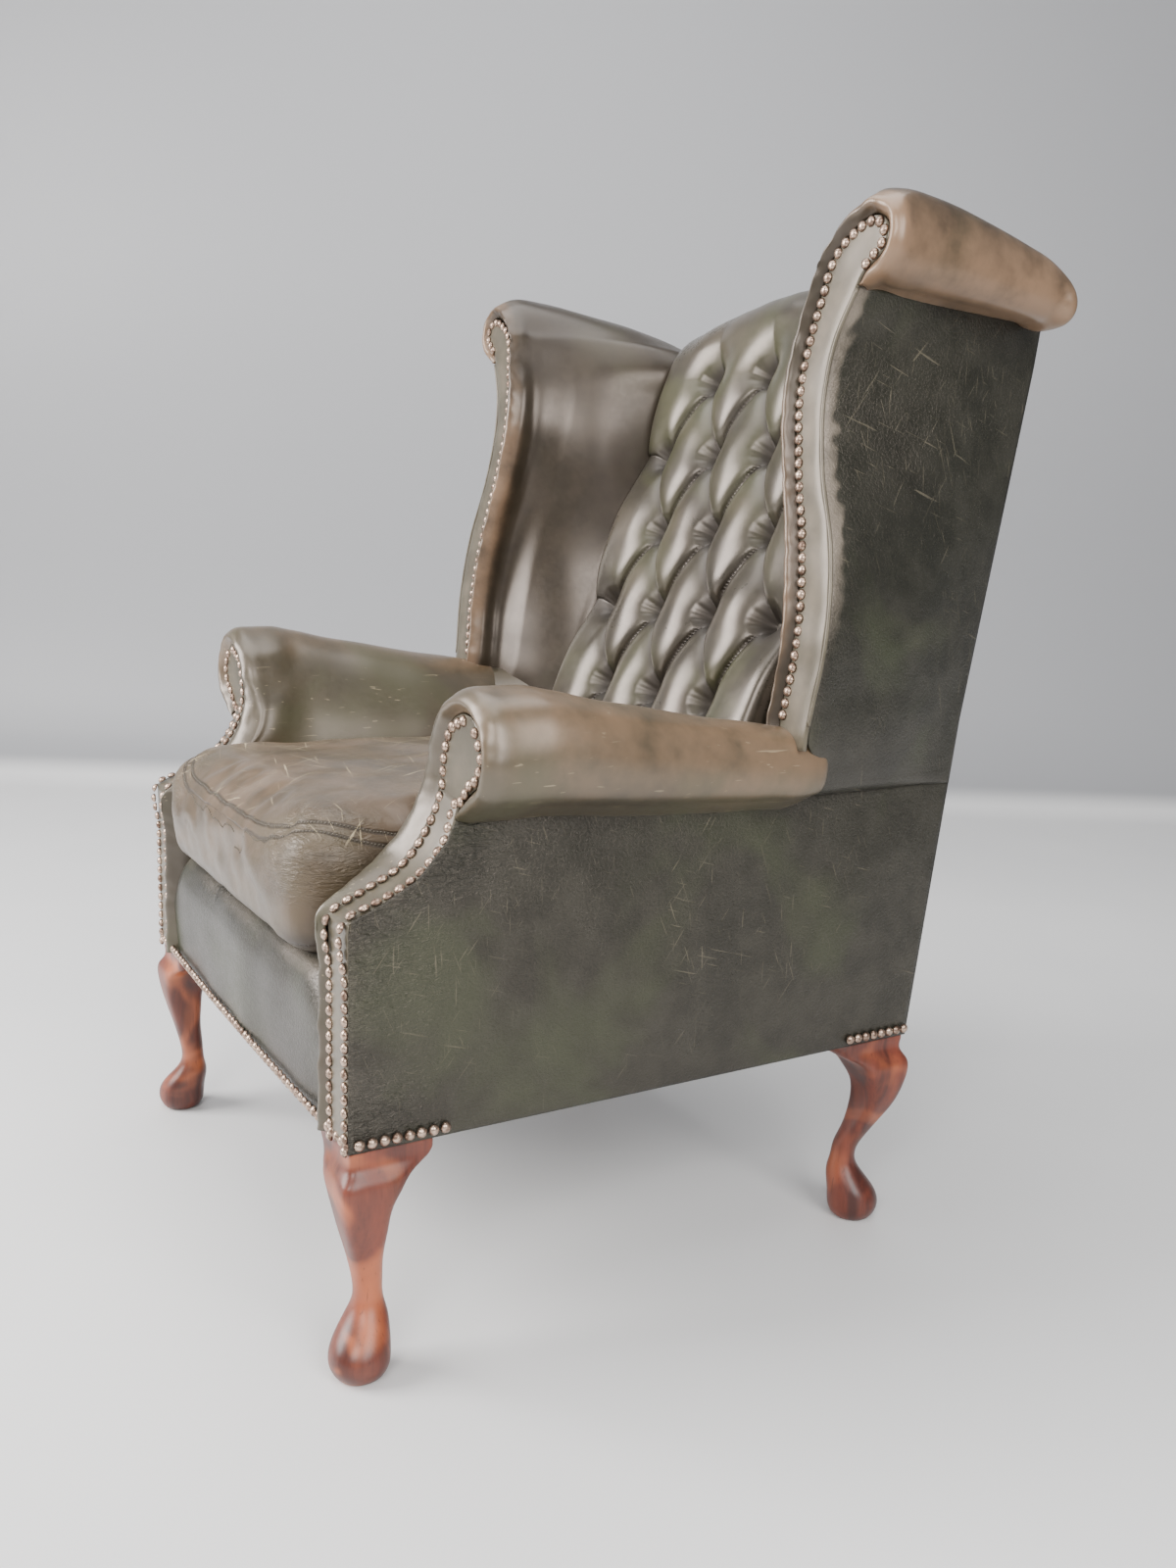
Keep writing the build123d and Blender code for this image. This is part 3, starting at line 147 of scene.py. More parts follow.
def smooth(knots: np.ndarray, values: np.ndarray, at: np.ndarray) -> np.ndarray:
    """Cubic curve through values at uneven knots, with its slopes taken from the neighbours.

    Args:
        knots: rising positions of the values.
        values: numbers or points, one per knot along the first axis.
        at: positions to work the curve out at.

    Returns:
        One number or point for each position.
    """
    knots = np.asarray(knots, float)
    values = np.asarray(values, float)
    at = np.asarray(at, float)
    slopes = np.gradient(values, knots, axis=0)
    index = np.clip(np.searchsorted(knots, at, side="right") - 1, 0, len(knots) - 2)
    span = knots[index + 1] - knots[index]
    t = (at - knots[index]) / span
    shape = t.shape + (1,) * (values.ndim - 1)
    t, span = t.reshape(shape), span.reshape(shape)
    start, end = values[index], values[index + 1]
    bend = slopes[index] * (1 - t) - slopes[index + 1] * t
    return start + (end - start) * t * t * (3 - 2 * t) + span * t * (1 - t) * bend


def along(points: np.ndarray, count: int) -> np.ndarray:
    """A smooth line of evenly spaced points through a few given ones.

    Args:
        points: the given points, one per row.
        count: how many points the line gets.

    Returns:
        The line's points, evenly spaced by arc length.
    """
    points = np.asarray(points, float)
    knots = np.r_[0, np.cumsum(np.linalg.norm(np.diff(points, axis=0), axis=1))]
    fine = smooth(knots, points, np.linspace(0, knots[-1], count * 8))
    length = np.r_[0, np.cumsum(np.linalg.norm(np.diff(fine, axis=0), axis=1))]
    even = np.linspace(0, length[-1], count)
    return np.stack([np.interp(even, length, fine[:, axis]) for axis in range(points.shape[1])], 1)


def net_surface(net: np.ndarray, rows: int, columns: int) -> np.ndarray:
    """A smooth surface through a small net of points, cubic along both directions.

    Args:
        net: control points, rows by columns by 3.
        rows: grid rows in the result.
        columns: grid columns in the result.

    Returns:
        The surface's grid, rows by columns by 3.
    """
    def knots(steps: np.ndarray) -> np.ndarray:
        """Positions of the net's lines, from their mean distances."""
        return np.r_[0, np.cumsum(np.maximum(steps, 1e-4))]

    down = knots(np.linalg.norm(np.diff(net, axis=0), axis=2).mean(axis=1))
    across = knots(np.linalg.norm(np.diff(net, axis=1), axis=2).mean(axis=0))
    tall = smooth(down, net, np.linspace(0, down[-1], rows))
    wide = smooth(across, tall.swapaxes(0, 1), np.linspace(0, across[-1], columns))
    return wide.swapaxes(0, 1)


def grid_normals(grid: np.ndarray) -> np.ndarray:
    """Unit normals of a grid: the cross product of its two directions of travel."""
    normal = np.cross(np.gradient(grid, axis=0), np.gradient(grid, axis=1))
    return normal / np.maximum(np.linalg.norm(normal, axis=2, keepdims=True), 1e-9)


def ripple(points: np.ndarray, wavelength: float, seed: int, waves: int = 10) -> np.ndarray:
    """Gentle unevenness: the mean of sine waves in seeded random directions.

    Args:
        points: places, with three numbers along the last axis.
        wavelength: length of the waves.
        seed: number that fixes the waves.
        waves: how many there are.

    Returns:
        A number of about -1 to 1 for each place.
    """
    rng = np.random.default_rng(seed)
    turn = rng.normal(size=(waves, 3))
    turn *= (2 * math.pi / wavelength) * rng.uniform(0.6, 1.4, (waves, 1)) / np.linalg.norm(
        turn, axis=1, keepdims=True
    )
    phase = rng.uniform(0, 2 * math.pi, waves)
    return np.sin(points @ turn.T + phase).sum(axis=-1) / math.sqrt(waves * 2)


def grid_faces(rows: int, columns: int, first: int = 0) -> np.ndarray:
    """Quads of a grid of points, row by row.

    Args:
        rows: rows of points.
        columns: points in a row.
        first: number of the grid's first point.

    Returns:
        Four point numbers for each quad.
    """
    corner = first + (np.arange(rows - 1)[:, None] * columns + np.arange(columns - 1)).reshape(-1, 1)
    return corner + np.array([0, columns, columns + 1, 1])


def mirrored(grid: np.ndarray, side: Side) -> np.ndarray:
    """A left-hand grid taken to its side; the right-hand one also runs backwards, to face out."""
    if side is Side.LEFT:
        return grid
    return grid[:, ::-1] * np.array([-1, 1, 1])


def link(name: str, points: np.ndarray, faces: list) -> bpy.types.Object:
    """A smooth-shaded mesh object at the origin.

    Args:
        name: name of the object and its mesh.
        points: one point per row.
        faces: point numbers of each face.

    Returns:
        The new object.
    """
    mesh = bpy.data.meshes.new(name)
    mesh.from_pydata(points.reshape(-1, 3).tolist(), [], faces)
    mesh.shade_smooth()
    piece = bpy.data.objects.new(name, mesh)
    bpy.context.scene.collection.objects.link(piece)
    return piece


def tell(piece: bpy.types.Object, attribute: str, values: np.ndarray) -> None:
    """Store one number per point of a piece, for its material to read."""
    layer = piece.data.attributes.new(attribute, "FLOAT", "POINT")
    layer.data.foreach_set("value", np.ascontiguousarray(values, np.float32).ravel())


def shell(
    name: str, outer: np.ndarray, thickness: float, rub: np.ndarray | None = None,
    inner: np.ndarray | None = None,
) -> bpy.types.Object:
    """A closed sheet: an outer grid, an inner one behind it and a rim round all four sides.

    Args:
        name: name of the piece.
        outer: grid of the visible face, whose normals point outwards.
        thickness: distance from the outer grid to the inner one.
        rub: tone of each outer point, from -1, nearly black, which is painted shade in folds, wells and joins, to 1,
            the worn colour, which is real wear and on rolls and crests also a painted highlight.
        inner: the inner grid, where it isn't simply set back along the normals.

    Returns:
        The new object.
    """
    rows, columns = outer.shape[:2]
    if inner is None:
        inner = outer - grid_normals(outer) * thickness
    count = rows * columns
    number = np.arange(count).reshape(rows, columns)
    border = np.r_[number[0, :-1], number[:-1, -1], number[-1, :0:-1], number[:0:-1, 0]]
    following = np.roll(border, -1)
    rim = np.stack([border, following, following + count, border + count], 1)
    front = grid_faces(rows, columns)
    back = grid_faces(rows, columns, count)[:, ::-1]
    faces = np.vstack([front, back, rim])
    piece = link(name, np.vstack([outer.reshape(-1, 3), inner.reshape(-1, 3)]), faces.tolist())
    wear_and_light = np.zeros((rows, columns)) if rub is None else rub
    tell(piece, "rub", np.r_[wear_and_light.ravel(), wear_and_light.ravel()])
    return piece


def backed(name: str, outer: np.ndarray, rub: np.ndarray, inner: np.ndarray) -> bpy.types.Object:
    """A closed pad: a fine outer grid, a rim, and a back of one plain strip per row.

    Args:
        name: name of the piece.
        outer: grid of the visible face, whose normals point outwards.
        rub: tone of each outer point, from -1, nearly black, which is painted shade in folds, wells and joins, to 1,
            the worn colour, which is real wear and on rolls and crests also a painted highlight.
        inner: grid behind it, of which only the border is used.

    Returns:
        The new object.
    """
    rows, columns = outer.shape[:2]
    count = rows * columns
    number = np.arange(count).reshape(rows, columns)
    border = np.r_[number[0, :-1], number[:-1, -1], number[-1, :0:-1], number[:0:-1, 0]]
    ring = count + np.arange(len(border))
    rim = np.stack([border, np.roll(border, -1), np.roll(ring, -1), ring], 1)
    wide, tall = columns - 1, rows - 1
    right = ring[wide: wide + tall + 1]
    left = np.r_[ring[:1], ring[2 * wide + tall:][::-1]]
    strips = np.stack([right[1:-2], right[2:-1], left[2:-1], left[1:-2]], 1)
    head = [*ring[: wide + 1].tolist(), int(right[1]), int(left[1])]
    foot = [int(right[-2]), *ring[wide + tall: 2 * wide + tall + 1].tolist(), int(left[-2])]
    faces = grid_faces(rows, columns).tolist() + rim.tolist() + strips.tolist() + [head, foot]
    points = np.vstack([outer.reshape(-1, 3), inner.reshape(-1, 3)[border]])
    piece = link(name, points, faces)
    tell(piece, "rub", np.r_[rub.ravel(), rub.ravel()[border]])
    return piece


def tube(
    name: str, path: np.ndarray, radius: float | np.ndarray, segments: int = 10
) -> bpy.types.Object:
    """A round welt: a circle carried along a path, with closed ends.

    Args:
        name: name of the piece.
        path: points of its middle line.
        radius: its radius, or one for each point.
        segments: sides of the circle.

    Returns:
        The new object.
    """
    ahead = np.gradient(path, axis=0)
    ahead /= np.linalg.norm(ahead, axis=1, keepdims=True)
    spread = np.ptp(path, axis=0)
    reference = np.eye(3)[int(np.argmin(spread))]
    out = np.cross(ahead, reference)
    out /= np.linalg.norm(out, axis=1, keepdims=True)
    up = np.cross(out, ahead)
    turn = np.linspace(0, 2 * math.pi, segments, endpoint=False)
    size = np.broadcast_to(radius, len(path))[:, None, None]
    ring = out[:, None] * np.cos(turn)[None, :, None] + up[:, None] * np.sin(turn)[None, :, None]
    points = np.vstack([(path[:, None] + size * ring).reshape(-1, 3), path[:1], path[-1:]])
    number = np.arange(len(path) * segments).reshape(-1, segments)
    after = np.roll(number, -1, axis=1)
    walls = np.stack([number[:-1], number[1:], after[1:], after[:-1]], 2).reshape(-1, 4)
    start, end = number.size, number.size + 1
    near = [(start, int(a), int(b)) for a, b in zip(number[0], after[0])]
    far = [(end, int(b), int(a)) for a, b in zip(number[-1], after[-1])]
    piece = link(name, points, walls.tolist() + near + far)
    tell(piece, "rub", np.full(len(points), 0.15))
    return piece


def domes(
    name: str, places: np.ndarray, normals: np.ndarray, radius: float, height: float,
    rings: int = 3, segments: int = 10, seed: int = 1, tilt: float = 0.06,
) -> bpy.types.Object:
    """Round heads on a surface: each is an elliptic dome with a flat closed underside.

    Args:
        name: name of the piece that holds them all.
        places: middle of each head's underside.
        normals: direction each head faces.
        radius: radius of a head.
        height: its height.
        rings: rings of points from rim to crown.
        segments: points in a ring.
        seed: number that fixes how far each head is out of true.
        tilt: how far a head may lean, in radians.

    Returns:
        The new object.
    """
    rng = np.random.default_rng(seed)
    normals = normals / np.linalg.norm(normals, axis=1, keepdims=True)
    normals = normals + rng.normal(0, tilt, normals.shape)
    normals /= np.linalg.norm(normals, axis=1, keepdims=True)
    helper = np.where(np.abs(normals[:, 2:3]) < 0.9, np.array([[0, 0, 1.0]]), np.array([[1.0, 0, 0]]))
    across = np.cross(helper, normals)
    across /= np.linalg.norm(across, axis=1, keepdims=True)
    up = np.cross(normals, across)
    rise = np.linspace(0, math.pi / 2, rings + 1)[:-1]
    turn = np.linspace(0, 2 * math.pi, segments, endpoint=False)
    flat = np.cos(rise)[:, None] * radius
    local = np.stack([
        (flat * np.cos(turn)).ravel(),
        (flat * np.sin(turn)).ravel(),
        np.repeat(np.sin(rise) * height, segments),
    ], 1)
    local = np.vstack([local, [[0, 0, height], [0, 0, 0]]])
    axes = np.stack([across, up, normals], 1)
    points = places[:, None] + np.einsum("pk,nkc->npc", local, axes)
    number = np.arange(rings * segments).reshape(rings, segments)
    after = np.roll(number, -1, axis=1)
    walls = np.stack([number[:-1], after[:-1], after[1:], number[1:]], 2).reshape(-1, 4)
    top, under = rings * segments, rings * segments + 1
    caps = np.vstack([
        np.stack([number[-1], after[-1], np.full(segments, top)], 1),
        np.stack([after[0], number[0], np.full(segments, under)], 1),
    ])
    shift = (np.arange(len(places)) * len(local))[:, None, None]
    faces = (walls + shift).reshape(-1, 4).tolist() + (caps + shift).reshape(-1, 3).tolist()
    return link(name, points.reshape(-1, 3), faces)


def row_of(path: np.ndarray, pitch: float) -> np.ndarray:
    """Evenly spaced places along a line, as near the given pitch as fits.

    Args:
        path: points of the line.
        pitch: distance wanted between places.

    Returns:
        The places, the line's ends among them.
    """
    length = np.linalg.norm(np.diff(path, axis=0), axis=1).sum()
    return along(path, max(2, int(round(length / pitch)) + 1))


class Shader:
    """A new material's node tree, with short ways to add the nodes that the finishes use."""

    def __init__(self, name: str) -> None:
        """Start an empty material whose patterns lie on the piece's own coordinates."""
        self.material = bpy.data.materials.new(name)
        self.material.use_nodes = True
        self.nodes = self.material.node_tree.nodes
        self.links = self.material.node_tree.links
        self.surface = self.nodes["Principled BSDF"]
        self.place = self.nodes.new("ShaderNodeTexCoord").outputs["Object"]

    def feed(self, value: object, socket: bpy.types.NodeSocket) -> None:
        """Link a socket's output, or set a plain value, on an input."""
        if isinstance(value, bpy.types.NodeSocket):
            self.links.new(value, socket)
        else:
            socket.default_value = value

    def stretched(self, scale: tuple[float, float, float],
                  turn: tuple[float, float, float] = (0.0, 0.0, 0.0)) -> bpy.types.NodeSocket:
        """The piece's coordinates, turned and then scaled by axis."""
        first = self.nodes.new("ShaderNodeMapping")
        first.inputs["Rotation"].default_value = turn
        self.links.new(self.place, first.inputs["Vector"])
        node = self.nodes.new("ShaderNodeMapping")
        node.inputs["Scale"].default_value = scale
        self.links.new(first.outputs["Vector"], node.inputs["Vector"])
        return node.outputs["Vector"]

    def noise(self, scale: float, detail: float = 3.0, rough: float = 0.55, bend: float = 0.0,
              place: bpy.types.NodeSocket | None = None) -> bpy.types.NodeSocket:
        """Soft noise of 0 to 1; bend distorts it."""
        node = self.nodes.new("ShaderNodeTexNoise")
        node.inputs["Scale"].default_value = scale
        node.inputs["Detail"].default_value = detail
        node.inputs["Roughness"].default_value = rough
        node.inputs["Distortion"].default_value = bend
        self.links.new(place or self.place, node.inputs["Vector"])
        return node.outputs["Fac"]

    def cells(self, scale: float, edges: bool = False,
              place: bpy.types.NodeSocket | None = None) -> bpy.types.NodeSocket:
        """Distance to the middle of the nearest cell, or to its edge."""
        node = self.nodes.new("ShaderNodeTexVoronoi")
        node.feature = "DISTANCE_TO_EDGE" if edges else "F1"
        node.inputs["Scale"].default_value = scale
        self.links.new(place or self.place, node.inputs["Vector"])
        return node.outputs["Distance"]

    def warped(self, scale: float, reach: float) -> bpy.types.NodeSocket:
        """The piece's coordinates, pushed about by coloured noise."""
        node = self.nodes.new("ShaderNodeTexNoise")
        node.inputs["Scale"].default_value = scale
        self.links.new(self.place, node.inputs["Vector"])
        move = self.nodes.new("ShaderNodeVectorMath")
        move.operation = "MULTIPLY_ADD"
        self.links.new(node.outputs["Color"], move.inputs[0])
        move.inputs[1].default_value = (reach, reach, reach)
        self.links.new(self.place, move.inputs[2])
        return move.outputs["Vector"]

    def attribute(self, name: str) -> bpy.types.NodeSocket:
        """A number stored on the piece's points."""
        node = self.nodes.new("ShaderNodeAttribute")
        node.attribute_name = name
        return node.outputs["Fac"]

    def between(self, value: bpy.types.NodeSocket, low: float, high: float,
                start: float = 0.0, end: float = 1.0) -> bpy.types.NodeSocket:
        """A value taken from one range to another, smoothly and held at both ends."""
        node = self.nodes.new("ShaderNodeMapRange")
        node.interpolation_type = "SMOOTHSTEP"
        for name, number in (("From Min", low), ("From Max", high), ("To Min", start), ("To Max", end)):
            node.inputs[name].default_value = number
        self.links.new(value, node.inputs["Value"])
        return node.outputs["Result"]

    def sum(self, kind: str, first: object, second: object) -> bpy.types.NodeSocket:
        """One sum of two values, such as ADD, MULTIPLY or MINIMUM, held to 0 to 1 for ADD."""
        node = self.nodes.new("ShaderNodeMath")
        node.operation = kind
        self.feed(first, node.inputs[0])
        self.feed(second, node.inputs[1])
        return node.outputs["Value"]

    def mix(self, share: object, first: object, second: object) -> bpy.types.NodeSocket:
        """One colour going over into another."""
        node = self.nodes.new("ShaderNodeMix")
        node.data_type = "RGBA"
        for value, index in ((share, 0), (first, 6), (second, 7)):
            if isinstance(value, tuple):
                value = (*value, 1.0)
            self.feed(value, node.inputs[index])
        return node.outputs[2]

    def bump(self, height: bpy.types.NodeSocket, depth: float,
             under: bpy.types.NodeSocket | None = None, strength: float = 1.0) -> bpy.types.NodeSocket:
        """A relief of the given depth, on top of another one."""
        node = self.nodes.new("ShaderNodeBump")
        node.inputs["Distance"].default_value = depth
        node.inputs["Strength"].default_value = strength
        self.links.new(height, node.inputs["Height"])
        if under is not None:
            self.links.new(under, node.inputs["Normal"])
        return node.outputs["Normal"]

    def finish(self, **sockets: object) -> bpy.types.Material:
        """Feed the surface's inputs, by name with spaces written as underscores."""
        for name, value in sockets.items():
            if isinstance(value, tuple):
                value = (*value, 1.0)
            self.feed(value, self.surface.inputs[name.replace("_", " ")])
        return self.material


@dataclass(frozen=True)
class Leather:
    """An aged, polished hide: mottled dye, scratches, a worn colour that on rolls and crests also serves as a painted
    highlight, and painted shade in the folds and wells.
    """

    name: str
    dye: tuple[float, float, float]
    shade: tuple[float, float, float]
    # Colour of worn places; on rolls and crests it also serves as a painted highlight.
    rubbed: tuple[float, float, float]
    patch: tuple[float, float, float]
    patch_share: float
    grain: float
    grain_depth: float
    crease_depth: float
    scratches: float
    gloss: tuple[float, float]
    raggedness: float = 2.0
    shine: float = 0.6
    streak_turns: tuple[tuple[float, float, float], ...] = ((0, 0, 1.45), (0, 0, 1.75))
    streak_scale: tuple[float, float, float] = (16, 330, 330)
    scratch_colour: tuple[float, float, float] = (0.46, 0.38, 0.24)
    seamed: bool = False

    def streaks(self, shader: Shader) -> bpy.types.NodeSocket:
        """Fine straight scratches: noise stretched along a few directions, its peaks kept."""
        lines = None
        low = 0.76 - 0.08 * self.scratches
        for turn in self.streak_turns:
            place = shader.stretched(self.streak_scale, turn)
            line = shader.between(shader.noise(1.0, 1.0, 0.4, 0.25, place), low, low + 0.05)
            lines = line if lines is None else shader.sum("MAXIMUM", lines, line)
        where = shader.between(shader.noise(7, 2), 0.40, 0.58)
        if self.seamed:
            where = shader.sum("MULTIPLY", shader.between(shader.noise(7, 2), 0.34, 0.50), shader.attribute("flat"))
        return shader.sum("MULTIPLY", shader.sum("MULTIPLY", lines, where), self.scratches)

    def seams(self, shader: Shader) -> bpy.types.NodeSocket:
        """Lines 4.2 mm to each side of the middle of a seam, from the distance told in "seam"."""
        away = shader.sum("ABSOLUTE", shader.sum("ADD", shader.attribute("seam"), -0.0042), 0.0)
        return shader.between(away, 0.0007, 0.0022, 1, 0)

    def relief(self, shader: Shader) -> bpy.types.NodeSocket:
        """Grain of small warped cells, dry creases in places, crumpled edges and soft waves."""
        relief = None
        if self.grain_depth > 0:
            pebble = shader.noise(self.grain, 3, 0.6, 0.3)
            relief = shader.bump(shader.between(pebble, 0.30, 0.62), self.grain_depth)
        if self.crease_depth > 0:
            creases = shader.cells(70, True, shader.warped(30, 0.04))
            where = shader.between(shader.noise(8, 2), 0.50, 0.66)
            sharp = shader.sum("MULTIPLY", shader.between(creases, 0.0, 0.10, 1, 0), where)
            relief = shader.bump(shader.sum("MULTIPLY", sharp, -1.0), self.crease_depth, relief)
        folds = shader.noise(1.0, 3, 0.6, 0.8, shader.stretched((90, 75, 260)))
        folds = shader.sum("MULTIPLY", folds, shader.attribute("crumple"))
        relief = shader.bump(folds, 0.0045, relief)
        if self.seamed:
            relief = shader.bump(shader.sum("MULTIPLY", self.seams(shader), -1.0), 0.0014, relief)
        return shader.bump(shader.noise(13, 1), 0.0016, relief, 0.5)

    def make(self) -> bpy.types.Material:
        """Build the node tree and return the material."""
        shader = Shader(self.name)
        wear_and_light = shader.attribute("rub")
        large = shader.noise(5.5, 3, 0.55, 0.4)
        middle = shader.noise(23, 4, 0.62)
        fine = shader.noise(160, 3, 0.6)
        colour = shader.mix(shader.between(middle, 0.34, 0.66), self.shade, self.dye)
        patch = shader.sum("MULTIPLY", shader.between(large, 0.50, 0.68), self.patch_share)
        colour = shader.mix(patch, colour, self.patch)
        # Towards the worn colour where the channel is high: real wear, and on rolls and crests also a painted
        # highlight.
        broken = shader.sum("MULTIPLY", shader.sum("ADD", middle, -0.5), self.raggedness)
        broken = shader.sum("MULTIPLY", shader.sum("ADD", broken, 1.0), wear_and_light)
        colour = shader.mix(shader.between(broken, 0.05, 1.0), colour, self.rubbed)
        # Painted shade: where the channel is low, in folds, wells and joins, the colour falls to near black; on
        # seamed leathers the real stitching lines are darkened with it.
        painted_shade_and_seams = shader.between(wear_and_light, -0.05, -0.9, 0, 0.9)
        if self.seamed:
            painted_shade_and_seams = shader.sum("MAXIMUM", painted_shade_and_seams, shader.sum("MULTIPLY", self.seams(shader), 0.75))
        colour = shader.mix(painted_shade_and_seams, colour, tuple(part * 0.15 for part in self.shade))
        scratch = self.streaks(shader)
        colour = shader.mix(scratch, colour, self.scratch_colour)
        speck = shader.between(fine, 0.35, 0.65, 0.92, 1.06)
        dull = shader.between(large, 0.35, 0.65, self.gloss[0], self.gloss[1])
        dull = shader.sum("MULTIPLY", dull, speck)
        dull = shader.sum("ADD", dull, shader.sum("MULTIPLY", painted_shade_and_seams, 0.2))
        rough = shader.sum("ADD", dull, shader.sum("MULTIPLY", scratch, 0.2))
        material = shader.finish(Base_Color=colour, Roughness=rough, Normal=self.relief(shader))
        shader.surface.inputs["Specular IOR Level"].default_value = self.shine
        shader.surface.inputs["Specular Tint"].default_value = (1.0, 0.86, 0.76, 1.0)
        shader.surface.inputs["Coat Weight"].default_value = self.shine * 0.3
        shader.surface.inputs["Coat Roughness"].default_value = 0.32
        return material


@dataclass(frozen=True)
class Mahogany:
    """Stained and polished wood with an upright figure and orange places."""

    name: str = "polished_mahogany"
    deep: tuple[float, float, float] = (0.050, 0.012, 0.008)
    body: tuple[float, float, float] = (0.175, 0.038, 0.019)
    glow: tuple[float, float, float] = (0.46, 0.125, 0.045)

    def make(self) -> bpy.types.Material:
        """Build the node tree and return the material."""
        shader = Shader(self.name)
        figure = shader.noise(26, 5, 0.65, 0.6, shader.stretched((1, 1, 0.12)))
        pores = shader.noise(420, 2, 0.5, 0, shader.stretched((1, 1, 0.05)))
        patches = shader.noise(13, 2, 0.5, 0.8)
        colour = shader.mix(shader.between(figure, 0.32, 0.66), self.deep, self.body)
        colour = shader.mix(shader.between(patches, 0.50, 0.72, 0, 0.85), colour, self.glow)
        colour = shader.mix(shader.between(pores, 0.60, 0.75, 0, 0.5), colour, self.deep)
        relief = shader.bump(pores, 0.00004)
        rough = shader.between(figure, 0.2, 0.8, 0.32, 0.46)
        material = shader.finish(Base_Color=colour, Roughness=rough, Normal=relief)
        shader.surface.inputs["Coat Weight"].default_value = 0.12
        shader.surface.inputs["Coat Roughness"].default_value = 0.25
        return material


@dataclass(frozen=True)
class PlainWood:
    """Raw sawn timber, as inside the upholstery."""

    name: str = "sawn_beech"
    pale: tuple[float, float, float] = (0.50, 0.34, 0.19)
    dark: tuple[float, float, float] = (0.30, 0.18, 0.09)

    def make(self) -> bpy.types.Material:
        """Build the node tree and return the material."""
        shader = Shader(self.name)
        figure = shader.noise(40, 4, 0.6, 0.5, shader.stretched((1, 0.2, 1)))
        colour = shader.mix(shader.between(figure, 0.35, 0.65), self.dark, self.pale)
        return shader.finish(Base_Color=colour, Roughness=0.7, Normal=shader.bump(figure, 0.0006))


@dataclass(frozen=True)
class Cloth:
    """Plain woven cloth: crossed threads with a little unevenness."""

    name: str
    colour: tuple[float, float, float]
    thread: float
    depth: float = 0.0004

    def make(self) -> bpy.types.Material:
        """Build the node tree and return the material."""
        shader = Shader(self.name)
        bands = []
        for direction in ("X", "Y"):
            wave = shader.nodes.new("ShaderNodeTexWave")
            wave.bands_direction = direction
            wave.inputs["Scale"].default_value = math.pi / (10 * self.thread)
            wave.inputs["Distortion"].default_value = 0.4
            shader.links.new(shader.place, wave.inputs["Vector"])
            bands.append(wave.outputs["Fac"])
        weave = shader.sum("MAXIMUM", *bands)
        uneven = shader.noise(60, 3)
        colour = shader.mix(shader.between(uneven, 0.3, 0.7), tuple(0.6 * c for c in self.colour), self.colour)
        colour = shader.mix(shader.between(weave, 0.0, 0.6, 0.6, 0), colour, tuple(0.3 * c for c in self.colour))
        return shader.finish(Base_Color=colour, Roughness=0.9, Normal=shader.bump(weave, self.depth))


@dataclass(frozen=True)
class AntiqueBrass:
    """Round nail heads with brown patina and bright crowns."""

    name: str = "antique_brass_nails"
    bright: tuple[float, float, float] = (0.52, 0.385, 0.30)
    patina: tuple[float, float, float] = (0.15, 0.095, 0.07)

    def make(self) -> bpy.types.Material:
        """Build the node tree and return the material."""
        shader = Shader(self.name)
        spots = shader.noise(150, 3, 0.6)
        colour = shader.mix(shader.between(spots, 0.34, 0.62), self.patina, self.bright)
        rough = shader.between(spots, 0.3, 0.7, 0.42, 0.24)
        material = shader.finish(Base_Color=colour, Roughness=rough, Normal=shader.bump(spots, 0.0004))
        shader.surface.inputs["Metallic"].default_value = 0.9
        return material


